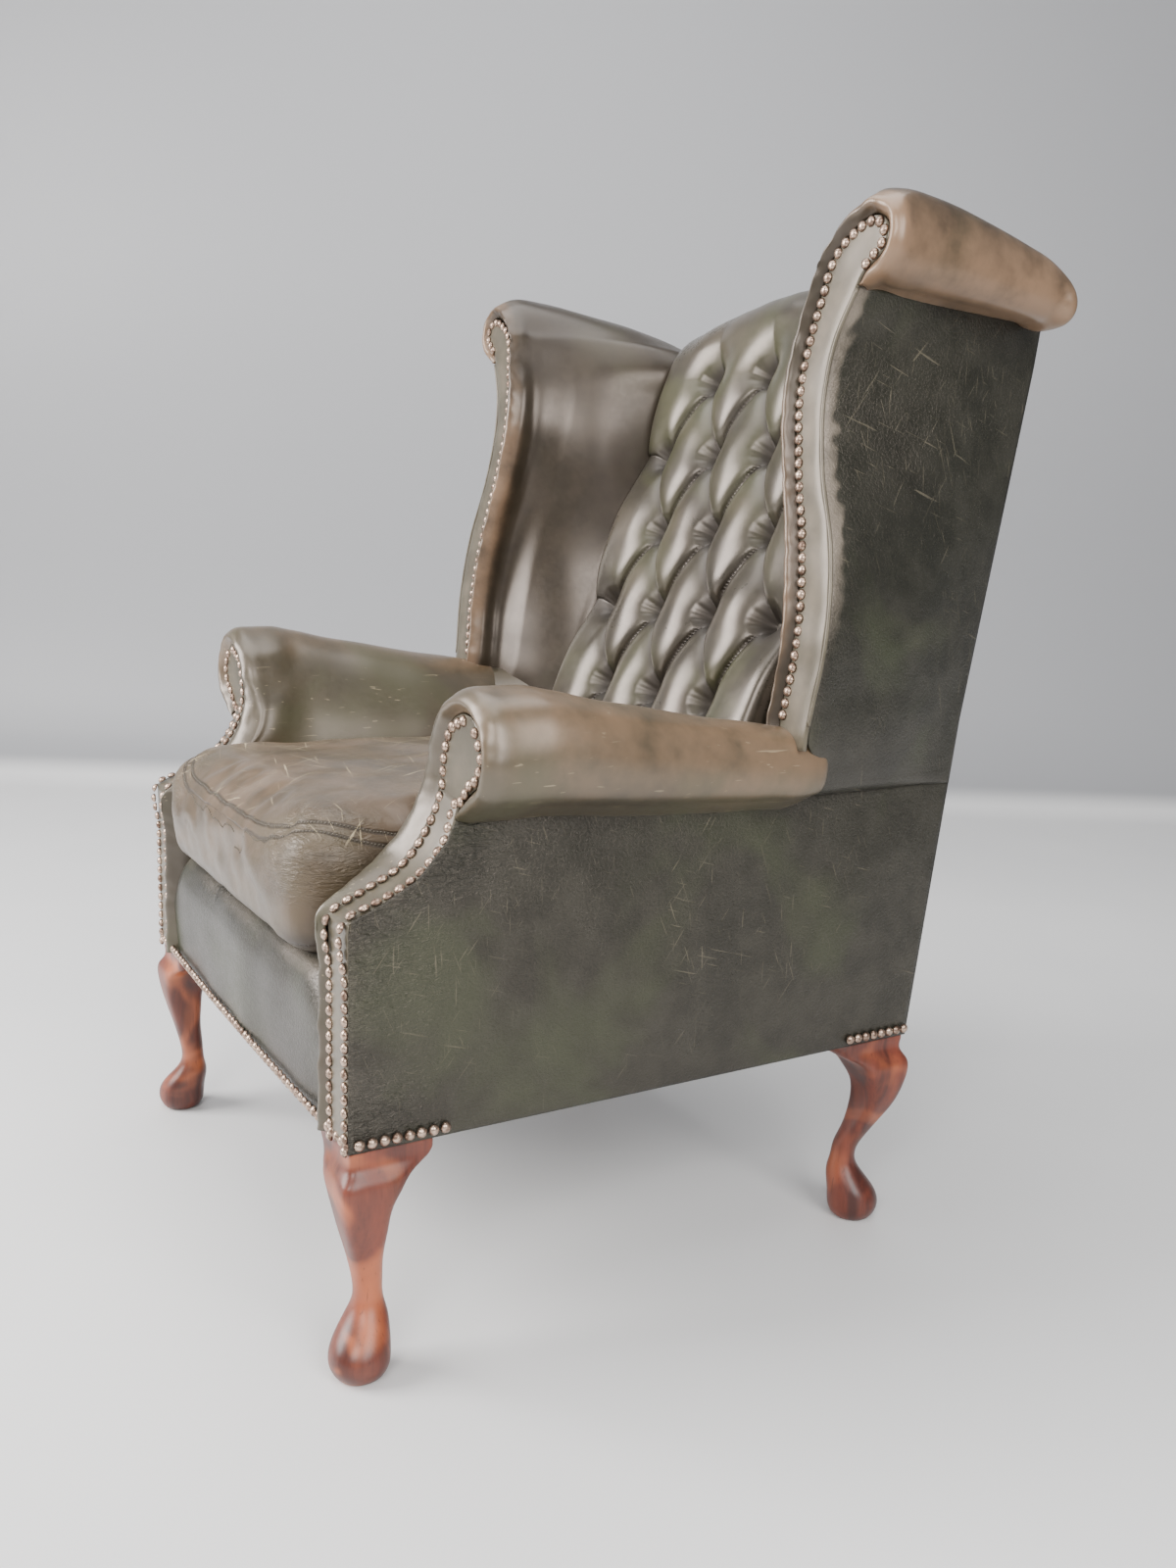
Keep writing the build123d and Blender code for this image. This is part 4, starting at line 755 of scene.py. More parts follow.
class Finishes:
    """Every finish on the chair, made once."""

    def __init__(self) -> None:
        """Build the materials."""
        flat_turns = ((0, 0, 0.25), (0, 0, -0.55), (0, 0, 0.95), (0, 0, -0.15))
        quarter = math.pi / 2
        upright_turns = ((0.3, 0, quarter), (1.2, 0, quarter), (quarter, 0, quarter), (2.2, 0, quarter))
        self.worn = Leather(
            "wing_leather", dye=(0.034, 0.026, 0.017), shade=(0.022, 0.017, 0.011),
            rubbed=(0.20, 0.125, 0.076), patch=(0.044, 0.042, 0.022), patch_share=0.4,
            grain=700, grain_depth=0.0, crease_depth=0.0, scratches=0.0, gloss=(0.30, 0.36),
            shine=0.62,
        ).make()
        self.buttoned = Leather(
            "buttoned_leather", dye=(0.042, 0.037, 0.026), shade=(0.028, 0.025, 0.018),
            rubbed=(0.095, 0.075, 0.055), patch=(0.052, 0.056, 0.024), patch_share=0.6,
            grain=700, grain_depth=0.0, crease_depth=0.0, scratches=0.0, gloss=(0.28, 0.34),
            shine=0.85,
        ).make()
        self.arm = Leather(
            "arm_leather", dye=(0.054, 0.044, 0.025), shade=(0.040, 0.034, 0.020),
            rubbed=(0.155, 0.100, 0.058), patch=(0.050, 0.051, 0.023), patch_share=0.8,
            grain=640, grain_depth=0.0, crease_depth=0.0, scratches=0.35, gloss=(0.33, 0.40),
            shine=1.0,
        ).make()
        self.seat = Leather(
            "cushion_leather", dye=(0.088, 0.062, 0.038), shade=(0.060, 0.045, 0.028),
            rubbed=(0.19, 0.125, 0.080), patch=(0.086, 0.072, 0.038), patch_share=0.5,
            grain=560, grain_depth=0.0, crease_depth=0.0, scratches=0.7, gloss=(0.33, 0.42),
            streak_turns=flat_turns, streak_scale=(9, 560, 25), seamed=True,
        ).make()
        dark = Leather(
            "bottle_green_leather", dye=(0.024, 0.024, 0.018), shade=(0.012, 0.013, 0.009),
            rubbed=(0.17, 0.145, 0.115), patch=(0.034, 0.042, 0.021), patch_share=0.7,
            grain=330, grain_depth=0.00028, crease_depth=0.0, scratches=0.55, gloss=(0.28, 0.36),
            streak_turns=upright_turns, streak_scale=(22, 30, 520), shine=0.5,
            scratch_colour=(0.13, 0.115, 0.08),
        )
        self.dark = dark.make()
        self.plain = replace(dark, name="border_leather", scratches=0.0).make()
        self.strip = Leather(
            "facing_leather", dye=(0.095, 0.085, 0.060), shade=(0.068, 0.061, 0.043),
            rubbed=(0.24, 0.19, 0.145), patch=(0.11, 0.093, 0.063), patch_share=0.4,
            grain=600, grain_depth=0.0, crease_depth=0.0, scratches=0.0, gloss=(0.30, 0.36),
            streak_turns=upright_turns,
        ).make()
        self.brass = AntiqueBrass().make()
        self.mahogany = Mahogany().make()
        self.beech = PlainWood().make()
        self.webbing = Cloth("jute_webbing", (0.30, 0.22, 0.13), 0.0024).make()
        self.cambric = Cloth("black_cambric", (0.02, 0.02, 0.02), 0.0012).make()
        self.platform = Cloth("platform_cloth", (0.045, 0.055, 0.045), 0.0012).make()
        self.foam = Cloth("cushion_foam", (0.70, 0.62, 0.40), 0.004, 0.001).make()


def place_piece(
    piece: bpy.types.Object, material: bpy.types.Material, body: str = FRAME_BODY,
    instead_of: tuple[str, ...] = (),
) -> bpy.types.Object:
    """Dress a finished piece, hang it on the body that it moves with and hide the CAD nodes that it stands in for.

    Args:
        piece: the piece, at the origin.
        material: its finish.
        body: the CAD body that it moves with.
        instead_of: the CAD nodes that it replaces.

    Returns:
        The same piece.
    """
    piece.data.materials.append(material)
    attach(piece, body)
    if instead_of:
        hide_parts(*instead_of)
    log.info("%s: %d faces", piece.name, len(piece.data.polygons))
    return piece


@dataclass
class Nailing:
    """Round-headed nails, set so that their heads nearly touch."""

    lines: ChairLines
    finishes: Finishes
    radius: float = 0.0054
    height: float = 0.0042
    pitch: float = 0.0115
    sink: float = 0.0004

    def drive(self, name: str, rows: list[tuple[np.ndarray, np.ndarray]], side: Side) -> None:
        """Set several rows of nails as one piece.

        Args:
            name: name of the piece, without its side.
            rows: for each row its places and their normals, on the left side of the chair.
            side: the side to set them on.
        """
        flip = np.array([side.value, 1, 1])
        places = np.vstack([spots for spots, _ in rows]) * flip
        normals = np.vstack([np.broadcast_to(ways, spots.shape) for spots, ways in rows]) * flip
        normals = normals / np.linalg.norm(normals, axis=1, keepdims=True)
        piece = domes(f"{name}_{side.word}", places - normals * self.sink, normals, self.radius, self.height)
        place_piece(piece, self.finishes.brass)

    def bottom_row(self) -> None:
        """The continuous row along the front's bottom edge."""
        lines = self.lines
        ends = lines.side_x - self.radius
        x = np.linspace(-ends, ends, int(round(2 * ends / self.pitch)) + 1)
        bow = 0.0035 * (1 - (x / ends) ** 2)
        places = np.stack([x, np.full_like(x, lines.front_y - 0.001) - bow, np.full_like(x, lines.base_z + 0.006)], 1)
        piece = domes("front_bottom_nails", places, np.tile([0, -1.0, 0], (len(x), 1)), self.radius, self.height)
        place_piece(piece, self.finishes.brass)


@dataclass
class TuftedBack:
    """The raked, deep-buttoned inside back, its covered buttons and the plain outside back."""

    lines: ChairLines
    finishes: Finishes
    pitch_x: float = 0.110
    pitch_v: float = 0.104
    height: float = 0.037
    fold: float = 0.020
    dart: float = 0.066
    well_spread: float = 0.023
    top_row: int = 4
    base_v: float = -0.222
    top_turn: float = 0.70 * math.pi
    edge_roll: float = 0.048
    well: float = 0.009
    well_reach: float = 0.012
    shoulder_z: float = 1.010
    crown_z: float = 1.054
    overhang: float = 0.007
    top_radius: float = 0.029
    button_radius: float = 0.0095
    step: float = 0.0021

    def pillow(self, position: np.ndarray) -> np.ndarray:
        """Profile across a pillow, steep beside its folds and full between them.

        The position runs from 0 at the low fold to 1 at the high one. With A from -1 to 1, the
        height is (1 - A squared) to the power 0.42 on the low side and 0.58 on the high side.
        """
        across = 2 * np.clip(position, 0, 1) ** 0.86 - 1
        power = np.where(across < 0, 0.42, 0.58)
        return np.maximum(1 - across * across, 0) ** power

    def folds(self, x: np.ndarray, v: np.ndarray) -> np.ndarray:
        """How far the pillows stand over the folds between them, from 0 in a fold to 1.

        Inside the outer buttons it is the product of the pillow profiles along the two slanting
        directions. Outside them the folds run level to the wing, and above the top row they run
        upright and die away before the top.
        """
        half = self.pitch_x / 2
        held = np.minimum(v, self.top_row * self.pitch_v)
        reach = np.minimum(np.abs(x), 1.5 * self.pitch_x)
        rising = (reach / half + held / self.pitch_v) / 2
        falling = (-reach / half + held / self.pitch_v) / 2
        field = self.pillow(rising % 1) * self.pillow(falling % 1)
        above = np.clip((v - self.top_row * self.pitch_v) / self.dart, 0, 1)
        return field + (1 - field) * above * above * (3 - 2 * above)

    def wells(self, x: np.ndarray, v: np.ndarray) -> tuple[np.ndarray, np.ndarray, np.ndarray]:
        """Distance and direction to the nearest button, and how full the stuffing is there.

        Each button pulls the stuffing down by 1 less the bell of its distance, and the fullness
        is the product over the buttons nearby.
        """
        half = self.pitch_x / 2
        row = np.round(v / self.pitch_v)
        best = np.full(x.shape, 9.0)
        angle = np.zeros(x.shape)
        full = np.ones(x.shape)
        for change in (-1, 0, 1):
            line = row + change
            there = (line >= -1) & (line <= self.top_row)
            odd = np.mod(line, 2)
            for shift in (-1, 1):
                nearest = np.round((x / half - odd) / 2) * 2 + odd
                column = nearest + np.where(x / half > nearest, 2, -2) * (shift > 0)
                real = there & (np.abs(column) <= 2 + odd)
                away_x, away_v = x - column * half, v - line * self.pitch_v
                distance = np.where(real, np.hypot(away_x, away_v), 9.0)
                nearer = distance < best
                best = np.where(nearer, distance, best)
                angle = np.where(nearer, np.arctan2(away_v, away_x), angle)
                pull = np.exp(-np.minimum(distance / self.well_spread, 20) ** 1.35)
                full = full * (1 - pull)
        return best, angle, full

    def crown(self, x: np.ndarray) -> np.ndarray:
        """Height of the back's top edge: a flat arc from shoulder to shoulder."""
        share = np.abs(np.clip(x / self.lines.back_half_width, -1, 1))
        return self.shoulder_z + (self.crown_z - self.shoulder_z) * (1 - share**1.2)

    def straight_run(self, x: np.ndarray) -> np.ndarray:
        """Distance up the raked plane to where the section starts to turn over the top."""
        return (self.crown(x) - self.lines.tuft_origin_z - self.top_radius - 0.012) / math.cos(self.lines.tuft_rake)

    def section(self, x: np.ndarray, run: np.ndarray, raised: np.ndarray) -> np.ndarray:
        """Points of the cover: up the raked plane, then round part of a circle over the top.

        Args:
            x: place across the chair.
            run: distance travelled up the section.
            raised: height over the base line, along its normal.

        Returns:
            The points in the frame's place.
        """
        rake = self.lines.tuft_rake
        top = self.straight_run(x)
        turn = np.maximum((run - top) / self.top_radius, 0)
        straight = np.minimum(run, top)
        out = np.cos(turn) * (self.top_radius + raised) - self.top_radius
        rise = straight + np.sin(turn) * (self.top_radius + raised)
        depth = self.lines.tuft_origin_depth + rise * math.sin(rake) - out * math.cos(rake)
        z = self.lines.tuft_origin_z + rise * math.cos(rake) + out * math.sin(rake)
        return np.stack([x, depth + self.lines.front_y, z], -1)

    def cover(self) -> None:
        """Make the tufted cover."""
        half_width = self.lines.back_half_width - 0.001
        top = (self.crown_z - self.lines.tuft_origin_z) / math.cos(self.lines.tuft_rake)
        columns = int(2 * half_width / self.step)
        rows = int((top + 0.040 - self.base_v) / self.step)
        share, x = np.meshgrid(np.linspace(1, 0, rows), np.linspace(-half_width, half_width, columns), indexing="ij")
        run = self.base_v + (self.straight_run(x) + self.top_turn * self.top_radius - self.base_v) * share
        share = self.folds(x, run)
        distance, angle, full = self.wells(x, run)
        over_top = np.clip((run - top + 0.045) / 0.085, 0, 1)
        over_top = over_top * over_top * (3 - 2 * over_top)
        beyond = np.clip((np.abs(x) - 1.5 * self.pitch_x) / self.edge_roll, 0, 1)
        edge = 0.60 + 0.40 * (1 - beyond**6 * (1 - over_top)) ** 0.5
        dome = self.height - self.fold
        raised = (dome * full + self.fold * share * np.clip(full * 1.5, 0, 1)) * edge
        raised = raised * (1 - over_top * 0.74)
        low = np.clip((run + 0.150) / 0.050, 0, 1)
        raised = raised * low * low * (3 - 2 * low)
        raised -= self.well * np.exp(-(distance / self.well_reach) ** 2)
        gathers = np.cos(11 * angle + 3 * np.sin(2 * angle)) * np.exp(-((distance - 0.017) / 0.007) ** 2)
        raised += 0.0005 * gathers
        place = np.stack([x, run, np.zeros_like(x)], -1)
        raised += 0.0010 * ripple(place, 0.07, 11) * share
        away = np.clip(distance / 0.018 - 0.6, 0, 1) * (1 - over_top)
        lift = self.overhang * np.exp(-share / 0.25) * away * (run < self.top_row * self.pitch_v + 0.01)
        outer = self.section(x, run + lift, raised)
        inner = self.section(x, run, np.full_like(x, -self.well - 0.010))
        # Painted shade: the folds between the pillows and the button wells get low values, which darken the leather
        # there; the pillow tops sit a little towards the worn colour.
        rub = 0.25 - 1.1 * np.exp(-(share / 0.45) ** 2) * (1 - over_top)
        rub = rub - 1.0 * np.exp(-(distance / 0.018) ** 2) + 0.2 * ripple(place, 0.12, 12)
        piece = backed("tufted_back", outer, rub, inner)
        place_piece(piece, self.finishes.buttoned, instead_of=("inside_back",))

    def buttons(self) -> None:
        """Make the covered buttons at the bottom of the wells."""
        rows = np.arange(-1, self.top_row + 1)
        spots = [
            (column * self.pitch_x / 2, row * self.pitch_v)
            for row in rows for column in (range(-3, 4, 2) if row % 2 else range(-2, 3, 2))
        ]
        x, v = np.array(spots).T
        under = self.section(x, v, np.full_like(x, -self.well - 0.0015))
        above = self.section(x, v, np.full_like(x, 0.0))
        piece = domes(
            "covered_buttons", under, above - under, self.button_radius, 0.006, rings=5, segments=20, tilt=0.03
        )
        # Painted shade: the buttons at the bottom of the wells are darkened a little.
        tell(piece, "rub", np.full(len(piece.data.vertices), -0.2))
        place_piece(piece, self.finishes.buttoned, instead_of=("back_buttons",))

    def outside(self) -> None:
        """Make the outside back: a plain panel, a little full, from the top roll to the base."""
        lines = self.lines
        low, high = lines.base_z, self.shoulder_z
        share, across = np.meshgrid(np.linspace(0, 1, 90), np.linspace(-1, 1, 70), indexing="ij")
        behind_pad = np.abs(across) < 0.64
        top = np.where(behind_pad, self.crown(across / 0.64 * lines.back_half_width) - 0.025, high - 0.012)
        z = low + (top - low) * share
        lap = 0.006 * np.clip(1 - (top - z) / 0.035, 0, 1) ** 2 * behind_pad
        x = across * (lines.side_x - 0.003)
        full = 0.005 * (1 - across**4) * (1 - (2 * share - 1) ** 4)
        place = np.stack([x, np.zeros_like(x), z], -1)
        y = lines.rear_depth(z) + lines.front_y - 0.001 + full + lap + 0.0012 * ripple(place, 0.14, 5)
        outer = np.stack([x, y, z], -1)
        rub = np.clip((np.abs(across) - 0.9) * 4, 0, 1) * 0.5 - 0.15
        piece = shell("outside_back_cover", outer, 0.0025, rub)
        place_piece(piece, self.finishes.plain, instead_of=("outside_back",))

    def make(self) -> None:
        """Make all the pieces of the back."""
        self.cover()
        self.buttons()
        self.outside()


@dataclass
class Wing:
    """One wing: the lining that rolls over its top, the nailed facing and the outside panel."""

    lines: ChairLines
    finishes: Finishes
    nailing: Nailing
    side: Side
    edge_roll: float = 0.022
    bulge: float = 0.011
    head: Outline = (
        (0.3185, 0.985), (0.3235, 1.003), (0.334, 1.021), (0.350, 1.034), (0.368, 1.0435), (0.384, 1.045),
        (0.396, 1.038), (0.401, 1.025), (0.396, 1.012), (0.386, 1.005), (0.376, 0.998), (0.370, 0.988),
    )
    silhouette: Outline = (
        (0.302, 0.985), (0.308, 1.008), (0.318, 1.029), (0.337, 1.049), (0.360, 1.062), (0.383, 1.065),
        (0.404, 1.055), (0.414, 1.034), (0.412, 1.012), (0.400, 0.996), (0.386, 0.989), (0.372, 0.984),
    )
    crown_depths: tuple[float, ...] = (0.47, 0.50, 0.56, 0.62, 0.676, 0.715, 0.738)
    crown_heights: tuple[float, ...] = (1.064, 1.071, 1.071, 1.060, 1.048, 1.034, 1.014)
    roll_end_depth: float = 0.752
    rear_half_width: float = 0.400
    section_shares: Outline = (
        (0.0, 0.0), (0.085, 0.27), (0.22, 0.50), (0.42, 0.76), (0.68, 0.94), (1.0, 1.0),
    )
    levels: int = 12
    hem: Outline = (
        (0.343, 0.474, 0.503), (0.3625, 0.470, 0.508), (0.3765, 0.466, 0.522), (0.3835, 0.461, 0.540),
        (0.388, 0.4415, 0.562), (0.3905, 0.4385, 0.584),
    )

    def roll_section(self, depth: float, foot_x: float) -> np.ndarray:
        """Twelve points round the roll at one depth: up the flank, over the top and down outside.

        Args:
            depth: where the section is cut.
            foot_x: x of the lining at the seam's height there.

        Returns:
            Points as x, depth and height.
        """
        lines = self.lines
        start, end = self.crown_depths[0], self.roll_end_depth
        share = np.clip((depth - start) / (end - start), 0, 1)
        crown = float(smooth(self.crown_depths, self.crown_heights, min(depth, self.crown_depths[-1])))
        outer = self.silhouette[7][0] + (self.rear_half_width - self.silhouette[7][0]) * share
        under = 0.989 - 0.013 * share**2
        seam = lines.wing_seam_z
        crown_x = 0.379 - 0.004 * share
        flank = [(foot_x + (crown_x - foot_x) * a, seam + (crown - seam) * b) for a, b in self.section_shares]
        middle = (crown + under) / 2
        outside = [
            (crown_x + (outer - crown_x) * 0.72, middle + (crown - middle) * 0.74),
            (outer, middle),
            (crown_x + (outer - crown_x) * 0.82, middle - (middle - under) * 0.66),
            (0.390 - 0.006 * share, under),
            (0.376 - 0.020 * share, under - 0.001),
            (0.362 - 0.022 * share, seam - 0.003),
        ]
        return np.array([(x, depth, z) for x, z in flank + outside])

    def lining_net(self) -> np.ndarray:
        """Control net of the lining: rows go up the wing and over the roll, columns go rearwards."""
        lines = self.lines
        z = np.linspace(lines.wing_base_z - 0.060, lines.wing_seam_z, self.levels)[:-1]
        inner = lines.wing_inner(z) + 0.030 * np.clip((lines.wing_base_z - z) / 0.06, 0, 1) ** 2
        front = lines.wing_depth(z)
        junction_x = lines.back_half_width - 0.006
        junction = lines.well_depth(z) + 0.004
        edge = np.stack([inner, front, z], 1)
        nose = np.stack([inner - self.edge_roll * 0.42, front - self.bulge, z], 1)
        turn = np.stack([inner - self.edge_roll, front + 0.004, z], 1)
        settle = np.stack([inner - self.edge_roll - 0.001, front + 0.022, z], 1)
        columns = [edge, nose, turn, settle]
        for share in (0.25, 0.5, 0.75, 0.92, 1.0):
            bow = 0.016 * math.sin(math.pi * share)
            x = settle[:, 0] + (junction_x - settle[:, 0]) * share - bow
            depth = settle[:, 1] + (junction - settle[:, 1]) * share
            columns.append(np.stack([x, depth, z], 1))
        lower = np.stack(columns, 1)
        lower[:, -1] += np.array([-0.004, 0.030, 0])
        head, padded = np.array(self.head), np.array(self.silhouette)
        depths = lines.wing_depth(head[:, 1])
        edge = np.stack([head[:, 0], depths, head[:, 1]], 1)
        middle = head * 0.45 + padded * 0.55
        lift = self.bulge * np.interp(np.arange(len(head)), [0, 3, 6, 11], [1, 0.9, 0.45, 0.35])
        nose = np.stack([middle[:, 0], depths - lift, middle[:, 1]], 1)
        turn = np.stack([padded[:, 0], depths + 0.004, padded[:, 1]], 1)
        columns = [edge, nose, turn]
        start = lines.wing_depth(lines.wing_seam_z) + 0.022
        far = float(lines.well_depth(lines.wing_seam_z)) + 0.004
        reach = (start, 0.545, 0.605, 0.665, 0.710, 0.738)
        for depth in reach:
            share = min(1.0, (depth - start) / (far - start))
            bow = 0.016 * math.sin(math.pi * share)
            foot_x = (lines.wing_inner(np.array([lines.wing_seam_z]))[0] - self.edge_roll) * (1 - share)
            columns.append(self.roll_section(depth, foot_x + junction_x * share - bow))
        upper = np.stack(columns, 1)
        lower_rows = lower
        rows = np.concatenate([lower_rows, upper], 0)
        end = rows[:, -1].copy()
        centre = np.array([0.362, self.roll_end_depth, 1.000])
        closing = end.copy()
        tip = slice(len(lower_rows) + 2, len(rows))
        closing[tip] = centre + (end[tip] - centre) * np.array([0.55, 1.0, 0.55])
        closing[tip, 1] = self.roll_end_depth - 0.004
        closing[: len(lower_rows) + 2] += np.array([-0.001, 0.006, 0])
        last = closing.copy()
        last[tip] = centre + (closing[tip] - centre) * np.array([0.12, 0.0, 0.12])
        last[: len(lower_rows) + 2] += np.array([-0.001, 0.004, 0])
        return np.concatenate([rows, closing[:, None], last[:, None]], 1)

    def lining(self) -> None:
        """Make the padded lining with its edge roll and its top roll."""
        grid = net_surface(self.lining_net(), 210, 120)
        grid[..., 1] += self.lines.front_y
        normal = grid_normals(grid)
        across = np.linspace(0, 1, grid.shape[1])[None, :]
        down = np.linspace(0, 1, grid.shape[0])[:, None]
        soft = ripple(grid, 0.09, 21) * 0.0005 + ripple(grid, 0.22, 22) * 0.0020
        pucker = np.exp(-((across - 0.035) / 0.035) ** 2)
        soft = soft + pucker * 0.0009 * ripple(grid, 0.018, 23)
        fade = np.clip(across * 30, 0, 1) * np.clip((1 - across) * 30, 0, 1)
        grid = grid + normal * (soft * fade)[..., None]
        # Towards the worn colour along the front roll and over the top roll, which is real wear and also a painted
        # highlight there; darker towards the back, as painted shade where the lining meets the tufted back.
        rub = 0.70 * np.exp(-((across - 0.07) / 0.05) ** 2) - 0.15 + 0.20 * ripple(grid, 0.25, 24)
        top = np.clip((down - 0.74) * 4, 0, 1)
        rub = rub + 1.00 * top * top * (3 - 2 * top)
        rub = rub - 0.8 * np.clip((across - 0.80) * 5, 0, 1) * (1 - top)
        piece = shell(f"wing_cover_{self.side.word}", mirrored(grid, self.side), 0.0025, rub if self.side is Side.LEFT else rub[:, ::-1])
        nodes = (f"inside_wing_{self.side.word}", f"wing_roll_{self.side.word}")
        place_piece(piece, self.finishes.worn, instead_of=nodes)

    def facing(self) -> None:
        """Make the flat facing strip and its curled head, and drive the nails round its edge."""
        lines = self.lines
        z = np.linspace(lines.wing_base_z - 0.026, lines.wing_seam_z, 41)
        inner = np.stack([lines.wing_inner(z), z], 1)
        outer = np.stack([lines.wing_outer(z), z], 1)
        head = np.array(self.head)
        left = along(np.vstack([inner[::4], head[1:5], (0.3755, 1.0450)]), 120)
        right = along(np.vstack([outer[::4], head[:4:-1], (0.3775, 1.0450)]), 120)
        share = np.linspace(1, 0, 14)[None, :, None]
        flat = left[:, None] * (1 - share) + right[:, None] * share
        proud = 0.0016 * (1 - (2 * share[..., 0] - 1) ** 6)
        depth = lines.wing_depth(flat[..., 1]) - 0.0012 - proud
        outer_grid = np.stack([flat[..., 0], depth + lines.front_y, flat[..., 1]], -1)
        outer_grid[..., 1] -= 0.0005 * ripple(outer_grid, 0.05, 31)
        rub = np.broadcast_to(0.35 - 0.3 * np.abs(2 * share[..., 0] - 1), flat.shape[:2])
        grid = mirrored(outer_grid, self.side)
        piece = shell(f"wing_facing_strip_{self.side.word}", grid, 0.003, rub)
        place_piece(piece, self.finishes.strip, instead_of=(f"wing_facing_{self.side.word}",))
        z = np.linspace(lines.wing_base_z + 0.004, lines.wing_seam_z, 12)
        inset = 0.0052
        up = np.stack([lines.wing_inner(z) + inset, z], 1)
        middle = head[3:10].mean(axis=0)
        ring = head[1:-1] + inset * (middle - head[1:-1]) / np.linalg.norm(middle - head[1:-1], axis=1, keepdims=True)
        spots = row_of(np.vstack([up, ring]), self.nailing.pitch)
        places = np.stack([spots[:, 0], lines.wing_depth(spots[:, 1]) + lines.front_y - 0.0028, spots[:, 1]], 1)
        way = np.array([0, -1.0, self.lines.wing_lean])
        self.nailing.drive("wing_nails", [(places, way)], self.side)

    def outside(self) -> None:
        """Make the outside panel, its rounded front edge and the welt in the seam."""
        lines = self.lines
        low, high = 0.503, lines.wing_seam_z + 0.002
        z = np.linspace(low, high, 130)
        hem = np.array(self.hem)
        above = np.linspace(lines.wing_base_z + 0.025, high, 20)
        knots = np.r_[hem[:, 2], above]
        outer = smooth(knots, np.r_[hem[:, 0], lines.wing_outer(above)], z)
        front = smooth(knots, np.r_[hem[:, 1], lines.wing_depth(above) + 0.001], z)
        rear = lines.rear_depth(z) - 0.001
        share = np.linspace(0, 1, 70)[None, :] ** 1.15
        true_front = lines.wing_depth(z)
        depth = front[:, None] + (rear - front)[:, None] * share
        along_panel = (depth - true_front[:, None]) / (rear - true_front)[:, None]
        x = outer[:, None] + (lines.side_x - outer)[:, None] * np.clip(along_panel, 0, 1)
        behind_roll = np.clip((depth - 0.705) / 0.03, 0, 1) * np.clip((z[:, None] - 0.940) / 0.04, 0, 1)
        zz = z[:, None] + 0.013 * behind_roll
        grid = np.stack([x, depth + lines.front_y, zz], -1)
        rounding = np.exp(-(depth - front[:, None]) / 0.005) * 0.0035
        full = 0.006 * np.sin(np.pi * share) * np.sin(np.pi * np.clip((zz - low) / (high - low), 0, 1)) ** 0.6
        grid[..., 0] += full - rounding + 0.0016 * ripple(grid, 0.11, 41) * np.sin(np.pi * share)
        flange = (depth - front[:, None] - 0.016) / 0.0028 + 1.6 * ripple(grid, 0.016, 43)
        rub = 1.0 / (1 + np.exp(np.clip(flange, -20, 20))) * np.clip((zz - 0.62) * 8, 0.15, 1) - 0.15
        rub = rub + 0.20 * ripple(grid, 0.2, 42)
        piece = shell(
            f"outside_wing_cover_{self.side.word}", mirrored(grid[:, ::-1], self.side), 0.0022,
            rub[:, ::-1] if self.side is Side.LEFT else rub,
        )
        place_piece(piece, self.finishes.dark, instead_of=(f"outside_wing_{self.side.word}",))
        z = np.linspace(lines.wing_base_z - 0.002, lines.wing_seam_z - 0.002, 90)
        path = np.stack([lines.wing_outer(z) + 0.0004, lines.wing_depth(z) + lines.front_y - 0.0012, z], 1)
        path[:, 0] *= self.side.value
        piece = tube(f"wing_welt_{self.side.word}", path, 0.0019, 8)
        place_piece(piece, self.finishes.strip)

    def make(self) -> None:
        """Make all the pieces of this wing."""
        self.lining()
        self.facing()
        self.outside()


